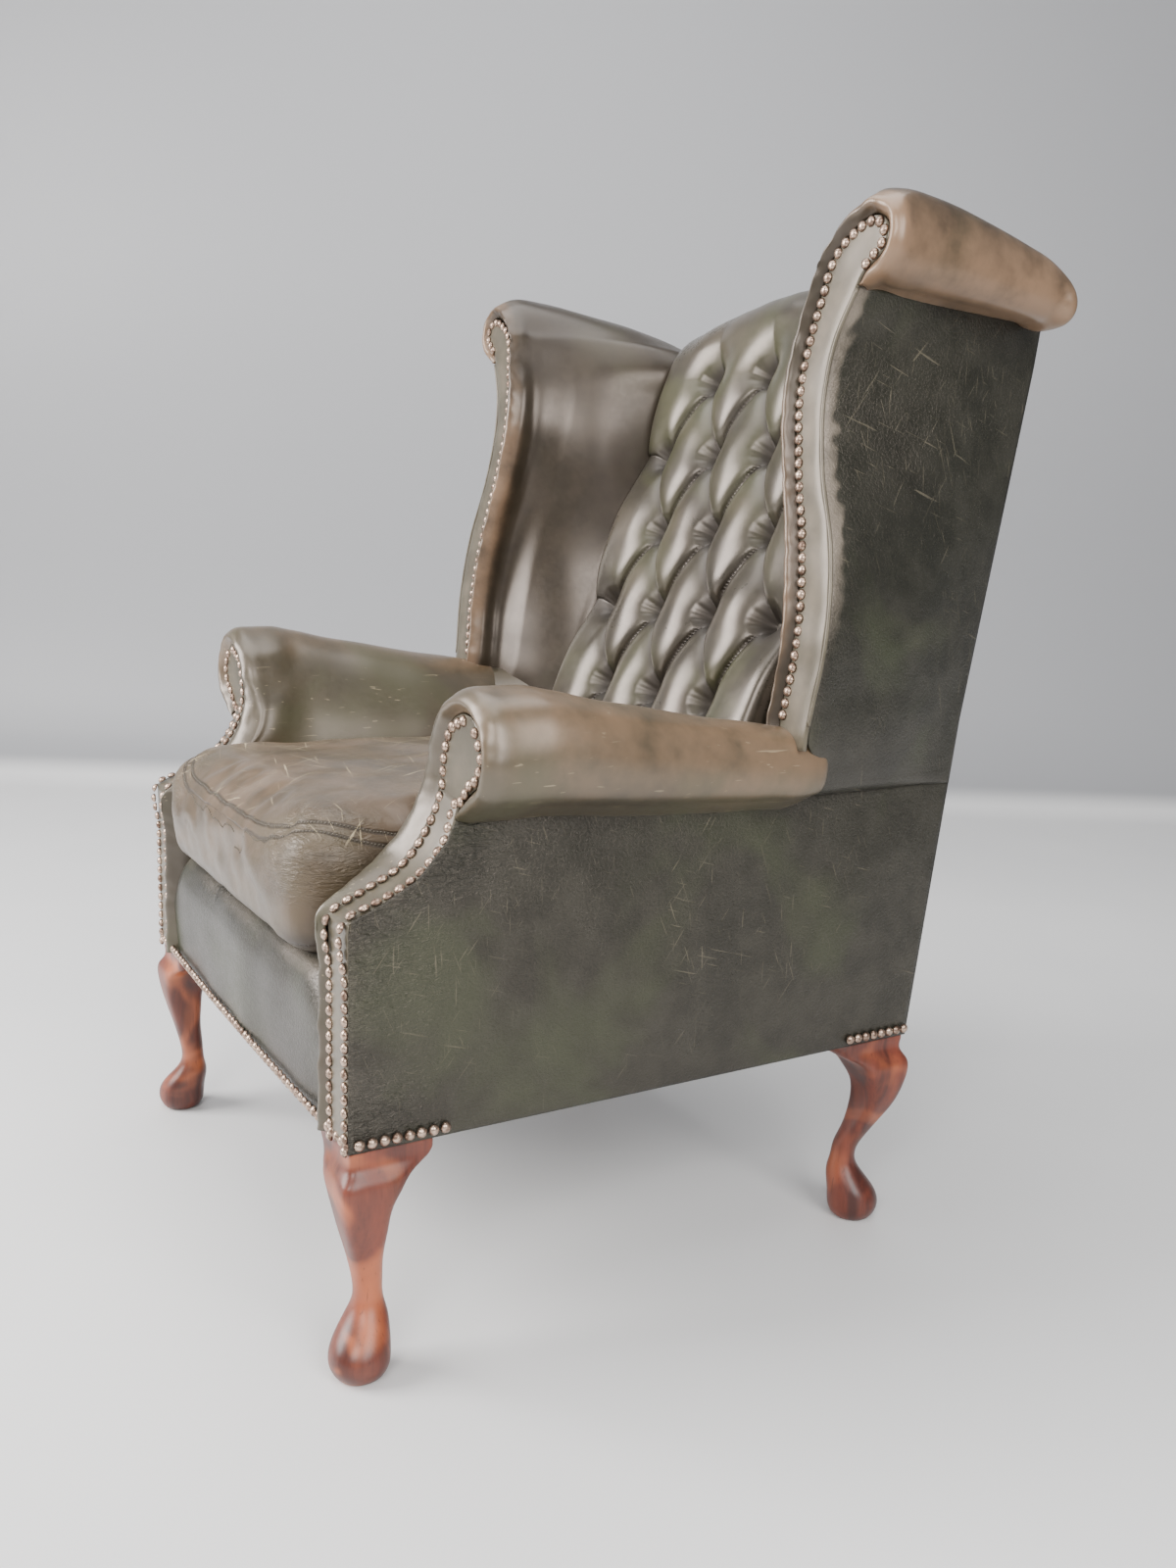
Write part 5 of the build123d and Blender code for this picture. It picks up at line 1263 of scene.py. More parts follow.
@dataclass
class Arm:
    """One arm: the padded cover with its roll, the nailed facing and the outside panel."""

    lines: ChairLines
    finishes: Finishes
    nailing: Nailing
    side: Side
    edge: Outline = (
        (0.290, 0.000, 0.223), (0.290, 0.000, 0.300), (0.290, 0.000, 0.375), (0.290, -0.001, 0.424),
        (0.296, 0.029, 0.443), (0.298, 0.061, 0.462), (0.297, 0.087, 0.495), (0.298, 0.100, 0.530),
        (0.300, 0.101, 0.560), (0.314, 0.101, 0.588), (0.343, 0.101, 0.600), (0.369, 0.101, 0.591),
        (0.382, 0.101, 0.568), (0.374, 0.101, 0.546), (0.357, 0.101, 0.535), (0.340, 0.101, 0.519),
    )
    silhouette: Outline = (
        (0.270, 0.006, 0.223), (0.270, 0.006, 0.300), (0.269, 0.006, 0.375), (0.270, 0.004, 0.428),
        (0.262, 0.028, 0.445), (0.247, 0.060, 0.464), (0.244, 0.093, 0.495), (0.252, 0.106, 0.528),
        (0.270, 0.110, 0.560), (0.292, 0.111, 0.597), (0.343, 0.112, 0.624), (0.385, 0.112, 0.609),
        (0.402, 0.112, 0.570), (0.394, 0.112, 0.537), (0.368, 0.111, 0.518), (0.337, 0.106, 0.503),
    )
    stations: tuple[float, ...] = (0.178, 0.220, 0.270, 0.326, 0.400, 0.458)
    crown_heights: tuple[float, ...] = (0.6195, 0.6105, 0.601, 0.591, 0.581, 0.573)
    under_heights: tuple[float, ...] = (0.518, 0.515, 0.513, 0.511, 0.508, 0.506)
    outer_reach: tuple[float, ...] = (0.403, 0.401, 0.397, 0.392, 0.386, 0.3815)
    wall_x: float = 0.250
    crown_x: float = 0.350
    bulge: float = 0.009
    flank: Outline = ((0.0, 0.0), (0.06, 0.20), (0.19, 0.42), (0.42, 0.70), (0.66, 0.89), (1.0, 1.0))

    def section(self, index: int) -> np.ndarray:
        """Sixteen points round the arm at one station: wall, flank, crown and outside."""
        depth = self.stations[index]
        crown, under = self.crown_heights[index], self.under_heights[index]
        outer = self.outer_reach[index]
        wall = [(self.wall_x, z) for z in (0.223, 0.300, 0.375, 0.424, 0.455)]
        foot = 0.480
        side = [
            (self.wall_x + (self.crown_x - self.wall_x) * a, foot + (crown - foot) * b)
            for a, b in self.flank
        ]
        middle = (crown + under) / 2
        round_x = self.crown_x + (outer - self.crown_x) * 0.74
        outside = [
            (round_x, middle + (crown - middle) * 0.72),
            (outer, middle),
            (round_x + 0.004, middle - (middle - under) * 0.72),
            (self.crown_x + 0.010, under - 0.001),
            (self.crown_x - 0.015, under - 0.016),
        ]
        return np.array([(x, depth, z) for x, z in wall + side + outside])

    def cover(self) -> None:
        """Make the padded cover: its rows go up the wall and over the roll."""
        edge, padded = np.array(self.edge), np.array(self.silhouette)
        slope = np.gradient(edge, axis=0)
        out = np.stack([np.zeros(len(edge)), -np.abs(slope[:, 2]), np.abs(slope[:, 1])], 1)
        out[10:] = (0, -1, 0)
        out[8:10] = (0, -1, 0)
        out /= np.linalg.norm(out, axis=1, keepdims=True)
        nose = edge * 0.5 + padded * 0.5
        nose[:, 1] = edge[:, 1]
        nose[:, 2] = np.where(np.arange(len(edge)) < 8, edge[:, 2], nose[:, 2])
        nose = nose + out * self.bulge
        turn = edge * 0.07 + padded * 0.93
        turn[8:, 1] = edge[8:, 1] + 0.002
        full = padded.copy()
        full[8:, 1] = edge[8:, 1] + 0.022
        full[:8] += np.array([-0.003, 0.012, 0])
        full[4:10, 0] += np.array([0.002, 0.004, 0.005, 0.005, 0.003, 0.002])
        columns = [edge, nose, turn, full] + [self.section(i) for i in range(len(self.stations))]
        net = np.stack(columns, 1)
        end = net[:, -1].copy()
        end[:, 1] = 0.470
        centre = np.array([0.340, 0.476, 0.545])
        first = 7
        end[first:] = centre + (end[first:] - centre) * np.array([0.94, 1.0, 0.94])
        last = end.copy()
        last[first:] = centre + (end[first:] - centre) * np.array([0.75, 1.0, 0.75])
        last[:, 1] += 0.010
        net = np.concatenate([net, end[:, None], last[:, None]], 1)
        grid = net_surface(net, 200, 150)
        grid[..., 1] += self.lines.front_y
        across = np.linspace(0, 1, grid.shape[1])[None, :]
        down = np.linspace(0, 1, grid.shape[0])[:, None]
        fade = np.clip(across * 30, 0, 1) * np.clip((1 - across) * 30, 0, 1)
        pucker = np.exp(-((across - 0.04) / 0.035) ** 2)
        soft = ripple(grid, 0.09, 51) * 0.0006 + ripple(grid, 0.24, 52) * 0.0020
        soft = soft + pucker * 0.0009 * ripple(grid, 0.020, 54)
        grid = grid + grid_normals(grid) * (soft * fade)[..., None]
        # Towards the worn colour along the crest of the roll, which is real wear and also a painted highlight there;
        # darker just behind the front edge and low on the inner wall.
        rub = 0.10 + 0.25 * ripple(grid, 0.3, 53) - 0.25 * np.exp(-((across - 0.10) / 0.10) ** 2)
        rub = rub + 0.55 * np.exp(-((down - 0.80) / 0.11) ** 2) - 0.35 * np.clip(0.45 - down, 0, 0.3) / 0.3
        flip = rub if self.side is Side.LEFT else rub[:, ::-1]
        piece = shell(f"arm_cover_{self.side.word}", mirrored(grid, self.side), 0.0025, flip)
        nodes = (f"inside_arm_{self.side.word}",)
        place_piece(piece, self.finishes.arm, instead_of=nodes)
        self.rear_lining()

    def rear_lining(self) -> None:
        """Make the arm's lining behind the roll, which runs under the wing to the back."""
        lines = self.lines
        z = np.linspace(0.315, 0.567, 40)
        share = np.linspace(0, 1, 24)[None, :]
        lean = np.interp(z, [0.480, 0.498, 0.518, 0.543, 0.558, 0.567], [0, 0.006, 0.019, 0.042, 0.066, 0.090])
        start_x = self.wall_x + lean
        x = start_x[:, None] + (lines.back_half_width - 0.004 + 0.25 * lean - start_x)[:, None] * share
        far = lines.well_depth(z) + 0.030
        depth = 0.440 + (far[:, None] - 0.440) * share
        grid = np.stack([x, depth + lines.front_y, np.broadcast_to(z[:, None], x.shape)], -1)
        piece = shell(f"arm_lining_{self.side.word}", mirrored(grid, self.side), 0.0025, np.full(x.shape, -0.2))
        place_piece(piece, self.finishes.arm)

    def facing(self) -> None:
        """Make the facing strip with its scroll head, and drive both rows of nails."""
        lines = self.lines
        edge = np.array(self.edge)
        side_x = lines.side_x - 0.001
        front = np.array([
            (side_x, 0.000, 0.223), (side_x, 0.000, 0.300), (side_x, 0.000, 0.375), (side_x, -0.001, 0.427),
            (side_x, 0.029, 0.440), (side_x, 0.061, 0.457), (side_x, 0.089, 0.488), (side_x - 0.002, 0.101, 0.521),
        ])
        left = [edge[:4], edge[3:8], np.vstack([edge[7:11], (0.3555, 0.101, 0.5988)])]
        right = [front[:4], front[3:8], np.vstack([front[7:], edge[14:10:-1], (0.3575, 0.101, 0.5982)])]
        left, right = (np.vstack([along(part, 40) for part in parts]) for parts in (left, right))
        left, right = (np.delete(line, (40, 80), axis=0) for line in (left, right))
        share = np.linspace(1, 0, 16)[None, :, None]
        flat = left[:, None] * (1 - share) + right[:, None] * share
        proud = 0.0014 * (1 - (2 * share - 1) ** 6) + 0.0016
        grid = flat + np.array([0, lines.front_y, 0]) + np.array([0, -1.0, 0.35]) * proud
        rub = np.broadcast_to(0.25 - 0.3 * np.abs(2 * share[..., 0] - 1), flat.shape[:2])
        piece = shell(f"arm_facing_strip_{self.side.word}", mirrored(grid, self.side), 0.003, rub)
        place_piece(piece, self.finishes.strip, instead_of=(f"arm_facing_{self.side.word}",))
        inset = 0.0055
        inner = edge[:9] + np.array([inset, 0, 0])
        middle = np.array([0.341, 0.101, 0.565])
        ring = edge[9:] + inset * (middle - edge[9:]) / np.linalg.norm(middle - edge[9:], axis=1, keepdims=True)
        inner_row = row_of(np.vstack([inner, ring[:2]]), self.nailing.pitch)
        outer = front - np.array([inset, 0, 0])
        outer_row = row_of(np.vstack([outer, ring[:2:-1], ring[2:1:-1]]), self.nailing.pitch)
        rows = []
        for row in (inner_row, outer_row):
            travel = np.gradient(row, axis=0)
            ways = np.stack([np.zeros(len(row)), -np.abs(travel[:, 2]) - 1e-4, np.maximum(travel[:, 1], 0)], 1)
            ways[row[:, 2] > 0.515] = (0, -1, 0)
            ways /= np.linalg.norm(ways, axis=1, keepdims=True)
            rows.append((row + np.array([0, lines.front_y, 0]) + ways * 0.003, ways))
        self.nailing.drive("arm_nails", rows, self.side)

    def outside(self) -> None:
        """Make the outside panel, a little baggy, with its nails over the legs."""
        lines = self.lines
        z = np.linspace(0, 1, 100)[:, None]
        share = np.linspace(0, 1, 130)[None, :]
        high = 0.512
        front = np.array([(-0.0020, 0.223), (-0.0020, 0.300), (-0.0020, 0.420), (0.001, 0.430), (0.029, 0.442),
                          (0.060, 0.459), (0.086, 0.489), (0.093, 0.5035), (0.098, 0.512)])
        low = lines.base_z - 0.0006
        front_line = np.interp(low + (high - low) * z[:, 0], front[:, 1], front[:, 0])
        height = low + (high - low) * z
        rear = lines.rear_depth(height) - 0.001
        depth = front_line[:, None] + (rear - front_line[:, None]) * share
        x = lines.side_x - 0.0002 - 0.0015 * np.clip((height - 0.5030) / 0.003, 0, 1) * np.ones_like(depth)
        grid = np.stack([x, depth + lines.front_y, height * np.ones_like(depth)], -1)
        hang = np.sin(np.pi * share) * np.sin(np.pi * np.clip(z, 0, 1)) ** 0.7
        grid[..., 0] += 0.005 * hang + 0.0016 * ripple(grid, 0.13, 61) * hang
        pull = np.exp(-(depth - front_line[:, None]) / 0.035) * 0.0007 * ripple(grid, 0.016, 62)
        grid[..., 0] += pull * np.clip(share * 40, 0, 1)
        near = np.exp(-(depth - front_line[:, None]) / 0.05)
        rub = 0.14 * ripple(grid, 0.22, 63) - 0.10 + 0.30 * near
        piece = shell(
            f"outside_arm_cover_{self.side.word}", mirrored(grid[:, ::-1], self.side), 0.0022,
            rub[:, ::-1] if self.side is Side.LEFT else rub,
        )
        crumple = near * (1.3 + 0.9 * ripple(grid, 0.1, 64))
        crumple = crumple[:, ::-1] if self.side is Side.LEFT else crumple
        tell(piece, "crumple", np.r_[crumple.ravel(), crumple.ravel()])
        nodes = (f"outside_arm_{self.side.word}",)
        place_piece(piece, self.finishes.dark, instead_of=nodes)
        rows = []
        base = lines.base_z + 0.008
        rear_end = float(lines.rear_depth(lines.base_z)) - 0.006
        for start, end in ((0.007, 0.088), (rear_end - 0.078, rear_end)):
            spots = row_of(np.array([(lines.side_x + 0.0025, start, base), (lines.side_x + 0.0025, end, base)]), self.nailing.pitch)
            rows.append((spots + np.array([0, lines.front_y, 0]), np.array([1.0, 0, 0])))
        self.nailing.drive("side_bottom_nails", rows, self.side)

    def make(self) -> None:
        """Make all the pieces of this arm."""
        self.cover()
        self.facing()
        self.outside()


@dataclass
class Seat:
    """The loose cushion, the padded border in front and the platform under the cushion."""

    lines: ChairLines
    finishes: Finishes
    half_width: float = 0.243
    front: float = -0.026
    rear: float = 0.448
    voxel: float = 0.006
    pressure: float = 4.0
    cap: float = 0.010
    border_half_width: float = 0.279

    def rounded_box(self) -> np.ndarray:
        """Rings of the cushion's starting shape: a rounded rectangle that swells and draws in."""
        base = float(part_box("seat_cushion")[0][2])
        crown = float(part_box("seat_cushion")[1][2])
        levels = np.linspace(0, math.pi, 30)
        turn = np.linspace(0, 2 * math.pi, 160, endpoint=False)
        middle = (self.front + self.rear) / 2
        half_depth = (self.rear - self.front) / 2
        power = 0.16
        cos, sin = np.cos(turn), np.sin(turn)
        square_x = np.sign(cos) * np.abs(cos) ** power
        square_y = np.sign(sin) * np.abs(sin) ** power
        squareness = np.where(levels < math.pi / 2, 0.07, 0.30)
        inset = (1 - np.abs(np.sin(levels)) ** squareness)[:, None]
        height = np.sign(np.cos(levels)) * np.abs(np.cos(levels)) ** 0.55
        reach_x = self.half_width * (1 - inset) * square_x
        reach_y = half_depth * (1 - inset) * square_y
        middle_z, half_z = (base + crown) / 2, (crown - base) / 2
        z = np.broadcast_to((middle_z - half_z * height)[:, None], reach_x.shape)
        return np.stack([reach_x, reach_y + middle + self.lines.front_y, z], -1)

    def cushion(self) -> None:
        """Make the cushion, blow it up a little as cloth and settle it on the platform."""
        rings = self.rounded_box()
        count, segments = rings.shape[:2]
        number = np.arange(count * segments).reshape(count, segments)
        after = np.roll(number, -1, axis=1)
        walls = np.stack([number[:-1], after[:-1], after[1:], number[1:]], 2).reshape(-1, 4)
        piece = link("seat_cushion_cover", rings.reshape(-1, 3), walls.tolist())
        select(piece)
        bpy.ops.object.mode_set(mode="EDIT")
        bpy.ops.mesh.select_all(action="SELECT")
        bpy.ops.mesh.remove_doubles(threshold=0.0004)
        bpy.ops.mesh.normals_make_consistent(inside=False)
        bpy.ops.object.mode_set(mode="OBJECT")
        remesh = piece.modifiers.new("Remesh", "REMESH")
        remesh.mode = "VOXEL"
        remesh.voxel_size = self.voxel
        remesh.use_smooth_shade = True
        bpy.ops.object.modifier_apply(modifier="Remesh")
        inflate(piece, self.pressure, self.cap)
        points = vertex_array(piece)
        self.dress(points)
        piece.data.vertices.foreach_set("co", points.astype(np.float32).ravel())
        lines = self.lines
        depth = points[:, 1] - lines.front_y
        rise = points[:, 2]
        reach, toward = self.reach(points)
        high = np.clip((rise - 0.462) / 0.008, 0, 1)
        # Painted shade: darker along the bottom, on the walls below the top and on the sides that meet the arms.
        rub = 0.30 + 0.25 * ripple(points, 0.2, 71) - 0.9 * np.clip((0.395 - rise) / 0.03, 0, 1)
        rub = rub - 0.35 * np.clip((reach - 0.96) / 0.03, 0, 1) * (1 - high)
        rub = rub - 0.4 * np.clip((np.abs(points[:, 0]) - 0.22) / 0.02, 0, 1) * (depth > 0.05)
        tell(piece, "rub", rub)
        tell(piece, "flat", high * np.clip((0.97 - reach) / 0.03, 0, 1))
        base = float(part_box("seat_cushion")[0][2])
        upper = np.where(rise > 0.455, np.abs(reach - 0.925) * 0.25, 0.05)
        lower = 0.0042 + np.abs(rise - base - 0.011 - 0.001 * ripple(points, 0.09, 75))
        tell(piece, "seam", np.minimum(upper, lower))
        corners = np.clip((np.abs(toward[:, 0]) - 0.50) / 0.35, 0, 1) * np.clip((-toward[:, 1] - 0.50) / 0.35, 0, 1)
        edge = np.clip((reach - 0.72) / 0.15, 0, 1) * np.clip((rise - 0.405) / 0.04, 0, 1)
        tell(piece, "crumple", 0.85 * corners * edge)
        piece.data.shade_smooth()
        place_piece(piece, self.finishes.seat, CUSHION_BODY, ("seat_cushion",))
        self.stitching(piece)

    def reach(self, points: np.ndarray, power: float = 6.0) -> tuple[np.ndarray, np.ndarray]:
        """How far out on the cushion each point lies.

        The reach is the distance from the cushion's middle, in half widths, by a power mean that
        makes its level lines rounded rectangles: 1 at the cushion's walls, 0 at its middle.

        Args:
            points: points on the cushion.
            power: how square the level lines are.

        Returns:
            The reach, and the two signed shares that it is made from.
        """
        low, high = (np.array(corner)[:2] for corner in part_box("seat_cushion"))
        toward = (points[:, :2] - (low + high) / 2) / ((high - low) / 2)
        return (np.abs(toward) ** power).sum(1) ** (1 / power), toward

    def dress(self, points: np.ndarray) -> None:
        """Press the cushion's underside flat, dip the seam along its top edge and crumple it."""
        base = float(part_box("seat_cushion")[0][2])
        reach, toward = self.reach(points)
        high = np.clip((points[:, 2] - 0.455) / 0.02, 0, 1)
        dip = np.exp(-((reach - 0.925) / 0.03) ** 2) * 0.0025 * high
        points[:, 2] -= dip
        wave = 0.0008 * ripple(points, 0.05, 72) + 0.0016 * ripple(points, 0.14, 73)
        points[:, 2] += wave * high
        faces_front = np.clip((-0.86 - toward[:, 1]) / 0.08, 0, 1)
        points[:, 1] -= 0.0012 * ripple(points, 0.045, 74) * faces_front
        points[:, 2] = np.maximum(points[:, 2], base - 0.001)

    def stitching(self, cushion: bpy.types.Object) -> None:
        """Lay two rows of stitches beside the seam along the cushion's top front edge."""
        lines = self.lines
        box_low, box_high = (np.array(corner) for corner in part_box("seat_cushion"))
        middle = (box_low + box_high) / 2
        half = (box_high - box_low) / 2
        turn = np.linspace(math.pi * 1.02, math.pi * 1.98, 420)
        places, ways = [], []
        for reach in (0.908, 0.942):
            power = 6.0
            cos, sin = np.cos(turn), np.sin(turn)
            size = (np.abs(cos) ** power + np.abs(sin) ** power) ** (-1 / power) * reach
            path = np.stack([middle[0] + half[0] * cos * size, middle[1] + half[1] * sin * size], 1)
            flat = along(path, 230)
            for x, y in flat:
                hit, spot, normal, _ = cushion.ray_cast((x, y, box_high[2] + 0.1), (0, 0, -1))
                if hit:
                    places.append(spot[:])
                    ways.append(normal[:])
        piece = domes(
            "cushion_stitches", np.array(places), np.array(ways), 0.0011, 0.0007, rings=2, segments=6, tilt=0.0
        )
        tell(piece, "rub", np.full(len(piece.data.vertices), -0.3))
        place_piece(piece, self.finishes.strip, CUSHION_BODY)

    def border(self) -> None:
        """Make the front border: a panel that rolls back over the front rail, soft at its corners."""
        lines = self.lines
        x = np.linspace(-1, 1, 150)[:, None] * self.border_half_width
        profile = along(np.array([
            (0.0015, lines.base_z - 0.0006), (-0.002, 0.260), (-0.004, 0.300), (-0.002, 0.332), (0.007, 0.352),
            (0.022, 0.361), (0.045, 0.360), (0.070, 0.352),
        ]), 90)
        corner = np.clip((np.abs(x) - 0.215) / (self.border_half_width - 0.215), 0, 1)
        high = np.clip((profile[None, :, 1] - 0.290) / 0.06, 0, 1)
        drop = 0.034 * corner**2.2 * high
        back = 0.010 * corner**2 * high
        depth = profile[None, :, 0] + back + 0.004 * (np.abs(x) / self.border_half_width) ** 4
        z = profile[None, :, 1] - drop
        grid = np.stack([np.broadcast_to(x, z.shape), depth + lines.front_y, z], -1)
        fade = np.clip(np.linspace(0, 30, 90), 0, 1)[None, :]
        grid[..., 1] -= (0.0012 * ripple(grid, 0.09, 81) + 0.003 * (1 - (x / self.border_half_width) ** 2)) * fade
        rub = 0.5 * np.exp(-((z - 0.352) / 0.012) ** 2) - 0.25 + 0.2 * ripple(grid, 0.15, 82)
        piece = shell("front_border_cover", grid, 0.0025, rub)
        place_piece(piece, self.finishes.plain, instead_of=("front_border",))

    def platform(self) -> None:
        """Make the platform cloth over the springs, slightly crowned, under the cushion."""
        low, high = (np.array(corner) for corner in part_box("seat_deck"))
        x, y = np.meshgrid(np.linspace(low[0], high[0], 60), np.linspace(low[1], high[1], 60), indexing="ij")
        across = (x - low[0]) / (high[0] - low[0]) * 2 - 1
        down = (y - low[1]) / (high[1] - low[1]) * 2 - 1
        z = high[2] - 0.010 * (np.abs(across) ** 6 + np.abs(down) ** 6) - 0.0006
        grid = np.stack([x, y, z + 0.0006 * ripple(np.stack([x, y, z], -1), 0.08, 91)], -1)
        grid[..., 2] = np.minimum(grid[..., 2], high[2] - 0.0004)
        piece = shell("seat_platform", grid, 0.012)
        place_piece(piece, self.finishes.platform, instead_of=("seat_deck",))

    def make(self) -> None:
        """Make all the pieces of the seat."""
        self.cushion()
        self.border()
        self.platform()


def select(piece: bpy.types.Object) -> None:
    """Make one piece the only selected and the active one."""
    bpy.ops.object.select_all(action="DESELECT")
    piece.select_set(True)
    bpy.context.view_layer.objects.active = piece


def vertex_array(piece: bpy.types.Object) -> np.ndarray:
    """A piece's points as an array."""
    points = np.empty(len(piece.data.vertices) * 3, np.float32)
    piece.data.vertices.foreach_get("co", points)
    return points.reshape(-1, 3).astype(float)


def inflate(piece: bpy.types.Object, pressure: float, cap: float, frames: int = 20) -> None:
    """Let a closed mesh swell as cloth under pressure, and hold each point within a cap.

    Args:
        piece: the mesh, which keeps its points' order.
        pressure: pressure inside it.
        cap: farthest that a point may move.
        frames: steps of the simulation.
    """
    start = vertex_array(piece)
    cloth = piece.modifiers.new("Cloth", "CLOTH")
    cloth.settings.quality = 5
    cloth.settings.use_pressure = True
    cloth.settings.uniform_pressure_force = pressure
    cloth.settings.effector_weights.gravity = 0
    cloth.point_cache.frame_end = frames
    scene = bpy.context.scene
    for number in range(1, frames + 1):
        scene.frame_set(number)
    ready = piece.evaluated_get(bpy.context.evaluated_depsgraph_get())
    swollen = np.empty(start.size, np.float32)
    ready.data.vertices.foreach_get("co", swollen)
    move = swollen.reshape(-1, 3) - start
    length = np.linalg.norm(move, axis=1, keepdims=True)
    move *= np.minimum(1, cap / np.maximum(length, 1e-9))
    piece.modifiers.remove(cloth)
    scene.frame_set(1)
    piece.data.vertices.foreach_set("co", (start + move).astype(np.float32).ravel())
    piece.data.update()


@dataclass
class Underframe:
    """The frame's own solids, which keep their shape and get their finishes, and the polished legs."""

    finishes: Finishes
    voxel: float = 0.002
    rubbing: int = 10
    knee_rubbing: int = 110
    knee_top: float = 0.214

    def leg(self, name: str) -> None:
        """Make one leg as rubbed-down wood: the solid's own shape in even faces, with its ledges eased.

        Each smoothing step moves every point half way to the mean of its neighbours. The knee gets
        many more of them than the rest, and the rim under the upholstery gets none of these.

        Args:
            name: the node of the leg, whose merged copy is remeshed.
        """
        piece = bpy.data.objects.new(f"{name}_wood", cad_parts[name].data.copy())
        piece.data.materials.clear()
        bpy.context.scene.collection.objects.link(piece)
        select(piece)
        bpy.ops.object.mode_set(mode="EDIT")
        bpy.ops.mesh.select_all(action="SELECT")
        bpy.ops.mesh.remove_doubles(threshold=0.00001)
        bpy.ops.object.mode_set(mode="OBJECT")
        remesh = piece.modifiers.new("Remesh", "REMESH")
        remesh.mode = "VOXEL"
        remesh.voxel_size = self.voxel
        bpy.ops.object.modifier_apply(modifier="Remesh")
        rise = vertex_array(piece)[:, 2]
        share = np.clip((self.knee_top - rise) / 0.012, 0, 1) * np.clip((rise - 0.130) / 0.040, 0, 1)
        knee = piece.vertex_groups.new(name="knee")
        for level in np.arange(1, 11):
            knee.add(np.flatnonzero(np.round(share * 10) == level).tolist(), float(level) / 10, "REPLACE")
        for count, group in ((self.knee_rubbing, "knee"), (self.rubbing, "")):
            ease = piece.modifiers.new("Smooth", "SMOOTH")
            ease.factor = 0.5
            ease.iterations = count
            ease.vertex_group = group
            bpy.ops.object.modifier_apply(modifier="Smooth")
        piece.vertex_groups.clear()
        points = vertex_array(piece)
        points[:, 2] = np.maximum(points[:, 2], 0)
        piece.data.vertices.foreach_set("co", points.astype(np.float32).ravel())
        piece.data.shade_smooth()
        place_piece(piece, self.finishes.mahogany, instead_of=(name,))

    def make(self) -> None:
        """Make the legs, and give each other node of the frame that still shows its material."""
        for name in list(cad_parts):
            if name.startswith(("front_leg", "rear_leg")):
                self.leg(name)
        choices = (
            (("front_leg", "rear_leg"), self.finishes.mahogany),
            (("seat_straps", "back_webbing"), self.finishes.webbing),
            (("dust_cover",), self.finishes.cambric),
            (("cushion_core",), self.finishes.foam),
            (("",), self.finishes.beech),
        )
        for name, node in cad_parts.items():
            material = next(finish for words, finish in choices if name.startswith(words))
            node.data.materials.clear()
            node.data.materials.append(material)
            log.info("%s: %s", name, material.name)


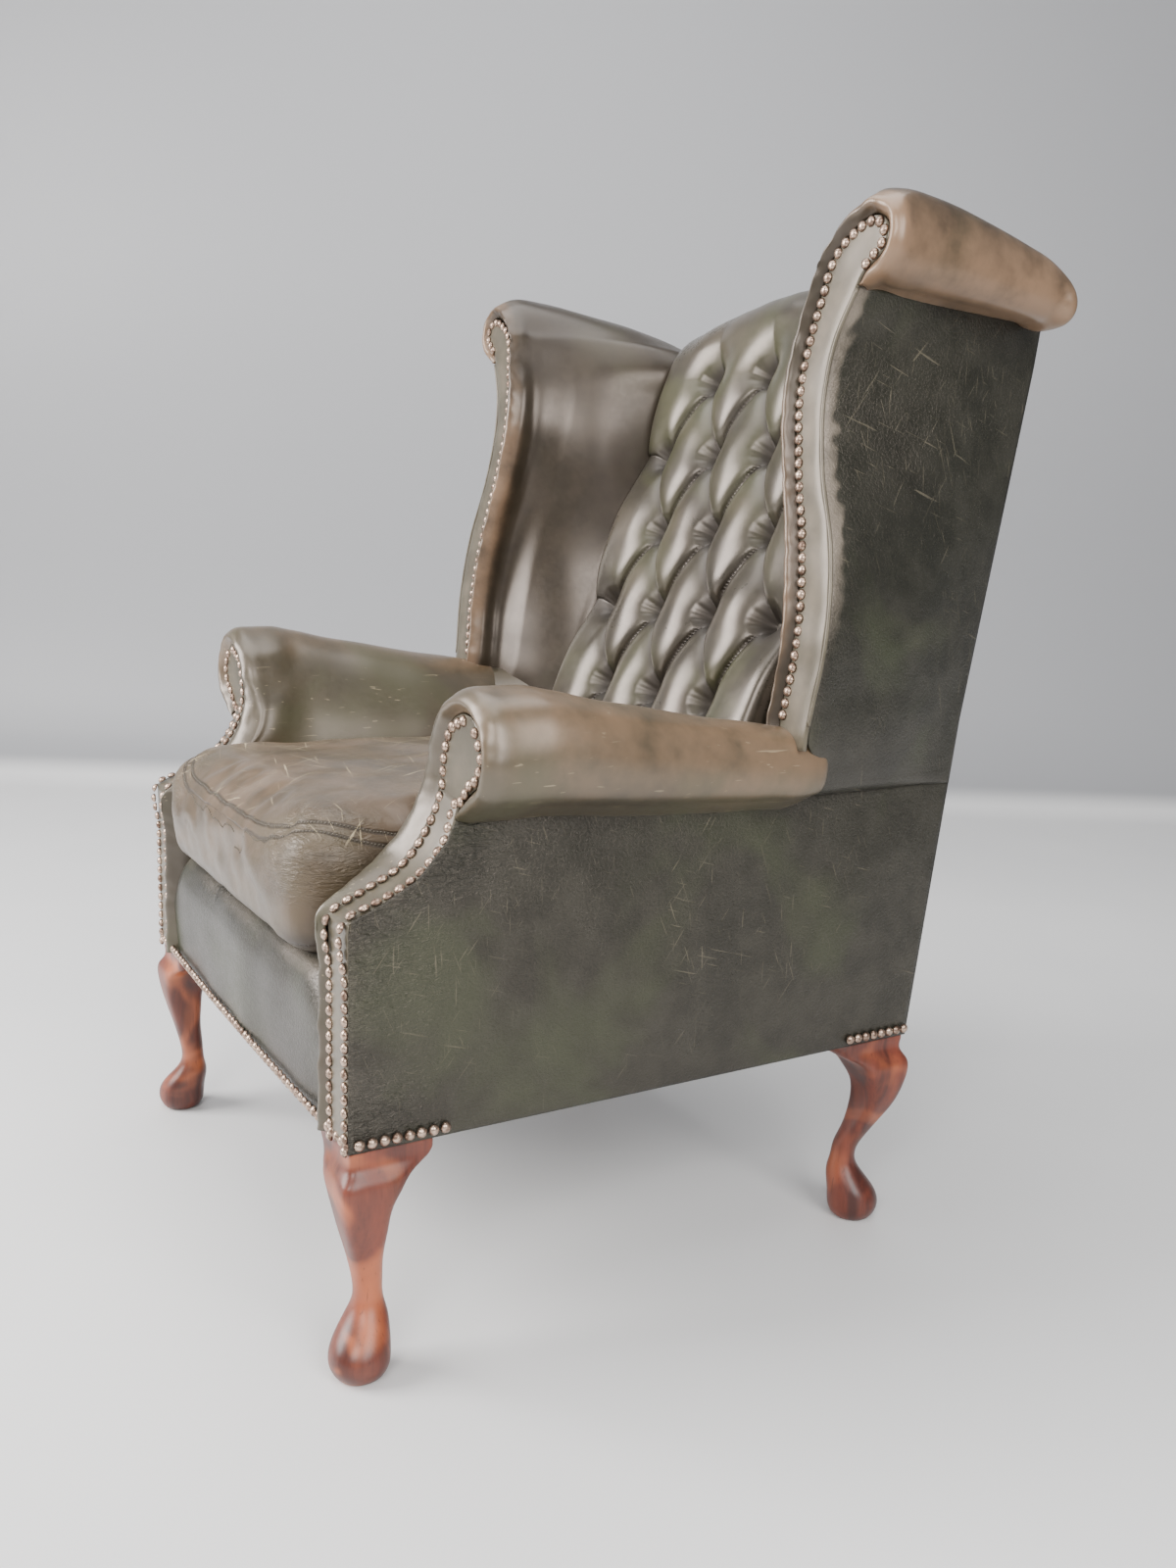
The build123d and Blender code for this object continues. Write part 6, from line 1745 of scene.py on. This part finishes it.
@dataclass
class Studio:
    """Pale floor and wall, soft light and the camera at the photograph's angle."""

    lines: ChairLines
    azimuth: float = math.radians(58.91)
    pitch: float = math.radians(10.51)
    roll: float = math.radians(1.96)
    place: tuple[float, float, float] = (1.333, -0.375, 0.747)
    focal_pixels: float = 1336.0
    frame_height: float = 1600.0
    sensor: float = 36.0

    def camera(self) -> None:
        """Set the camera: forwards from azimuth and pitch, then rolled about that line."""
        a, t, r = self.azimuth, self.pitch, self.roll
        ahead = np.array([-math.sin(a) * math.cos(t), math.cos(a) * math.cos(t), -math.sin(t)])
        right = np.array([math.cos(a), math.sin(a), 0])
        up = np.cross(right, ahead)
        turned_right = math.cos(r) * right + math.sin(r) * up
        turned_up = -math.sin(r) * right + math.cos(r) * up
        data = bpy.data.cameras.new("camera")
        data.sensor_width = self.sensor
        data.lens = self.sensor * self.focal_pixels / self.frame_height
        data.clip_end = 60
        camera = bpy.data.objects.new("camera", data)
        bpy.context.scene.collection.objects.link(camera)
        matrix = np.eye(4)
        matrix[:3, 0], matrix[:3, 1], matrix[:3, 2] = turned_right, turned_up, -ahead
        matrix[:3, 3] = np.array(self.place) + np.array([0, self.lines.front_y, 0])
        camera.matrix_world = Matrix(matrix.tolist())
        bpy.context.scene.camera = camera

    def stage(self) -> None:
        """Make the pale floor, which turns up into a plain wall behind the chair."""
        shader = Shader("studio_grey")
        cloudy = shader.noise(0.9, 3)
        height = shader.nodes.new("ShaderNodeSeparateXYZ")
        shader.links.new(shader.place, height.inputs["Vector"])
        wall = shader.between(height.outputs["Z"], 0.0, 0.06)
        floor = shader.mix(shader.between(cloudy, 0.3, 0.7), (0.72, 0.725, 0.73), (0.78, 0.78, 0.78))
        colour = shader.mix(wall, floor, (0.33, 0.335, 0.35))
        material = shader.finish(Base_Color=colour, Roughness=0.45)
        angle = self.azimuth
        ahead = np.array([-math.sin(angle), math.cos(angle)])
        right = np.array([math.cos(angle), math.sin(angle)])
        run = np.array([-4.0, -2.0, 0.0, 1.0, 2.0, 2.25, 2.38, 2.45, 2.5, 2.5, 2.5])
        rise = np.array([0.0, 0.0, 0.0, 0.0, 0.0, 0.0, 0.01, 0.05, 0.15, 1.5, 4.0])
        line = along(np.stack([run, rise], 1), 60)
        wide = np.linspace(-5, 5, 9)
        middle = np.array([0.0, self.lines.front_y + 0.3])
        flat = middle + line[:, None, :1] * ahead + wide[None, :, None] * right
        grid = np.concatenate([flat, np.broadcast_to(line[:, None, 1:], flat.shape[:2] + (1,))], -1)
        grid[..., 2] = np.maximum(grid[..., 2], 0) - 0.0005
        floor = link("studio_floor", grid.reshape(-1, 3), grid_faces(*grid.shape[:2])[:, ::-1].tolist())
        floor.data.materials.append(material)

    def light(self, name: str, place: tuple[float, float, float], aim: tuple[float, float, float],
              size: tuple[float, float], power: float, colour: tuple[float, float, float] = (1, 1, 1)) -> None:
        """Hang one large soft lamp.

        Args:
            name: name of the lamp.
            place: where it hangs.
            aim: the point it faces.
            size: its width and height.
            power: its power in watts.
            colour: its colour.
        """
        data = bpy.data.lights.new(name, "AREA")
        data.shape = "RECTANGLE"
        data.size, data.size_y = size
        data.energy = power
        data.color = colour
        lamp = bpy.data.objects.new(name, data)
        bpy.context.scene.collection.objects.link(lamp)
        away = np.array(place, float) - np.array(aim, float)
        away /= np.linalg.norm(away)
        right = np.cross([0, 0, 1.0], away)
        right /= np.linalg.norm(right)
        matrix = np.eye(4)
        matrix[:3, 0], matrix[:3, 1], matrix[:3, 2], matrix[:3, 3] = right, np.cross(away, right), away, place
        lamp.matrix_world = Matrix(matrix.tolist())

    def lights(self) -> None:
        """Hang the lamps and set the even light of the room."""
        self.light("softbox_front", (-1.2, -2.7, 1.9), (0, 0, 0.6), (2.0, 2.2), 215, (1.0, 0.975, 0.955))
        self.light("softbox_side", (3.0, 0.0, 1.9), (0, 0, 0.6), (1.7, 1.9), 92, (1.0, 0.975, 0.955))
        self.light("softbox_camera", (2.6, -2.4, 2.4), (0, 0, 0.5), (1.5, 1.5), 85, (1.0, 0.98, 0.96))
        self.light("ceiling", (-0.2, -0.2, 3.2), (0, 0, 0), (2.6, 2.6), 75, (0.98, 0.99, 1.0))
        world = bpy.data.worlds.new("room")
        world.use_nodes = True
        back = world.node_tree.nodes["Background"]
        back.inputs["Color"].default_value = (0.75, 0.755, 0.77, 1)
        back.inputs["Strength"].default_value = 0.36
        bpy.context.scene.world = world

    def make(self) -> None:
        """Set up the whole studio."""
        self.camera()
        self.stage()
        self.lights()


def main() -> None:
    """Build the studio and the chair, piece by piece."""
    logging.basicConfig(level=logging.INFO, format="%(message)s")
    lines = ChairLines()
    Studio(lines).make()
    finishes = Finishes()
    Underframe(finishes).make()
    nailing = Nailing(lines, finishes)
    nailing.bottom_row()
    TuftedBack(lines, finishes).make()
    for side in Side:
        Wing(lines, finishes, nailing, side).make()
        Arm(lines, finishes, nailing, side).make()
    Seat(lines, finishes).make()


if __name__ == "__main__":
    main()
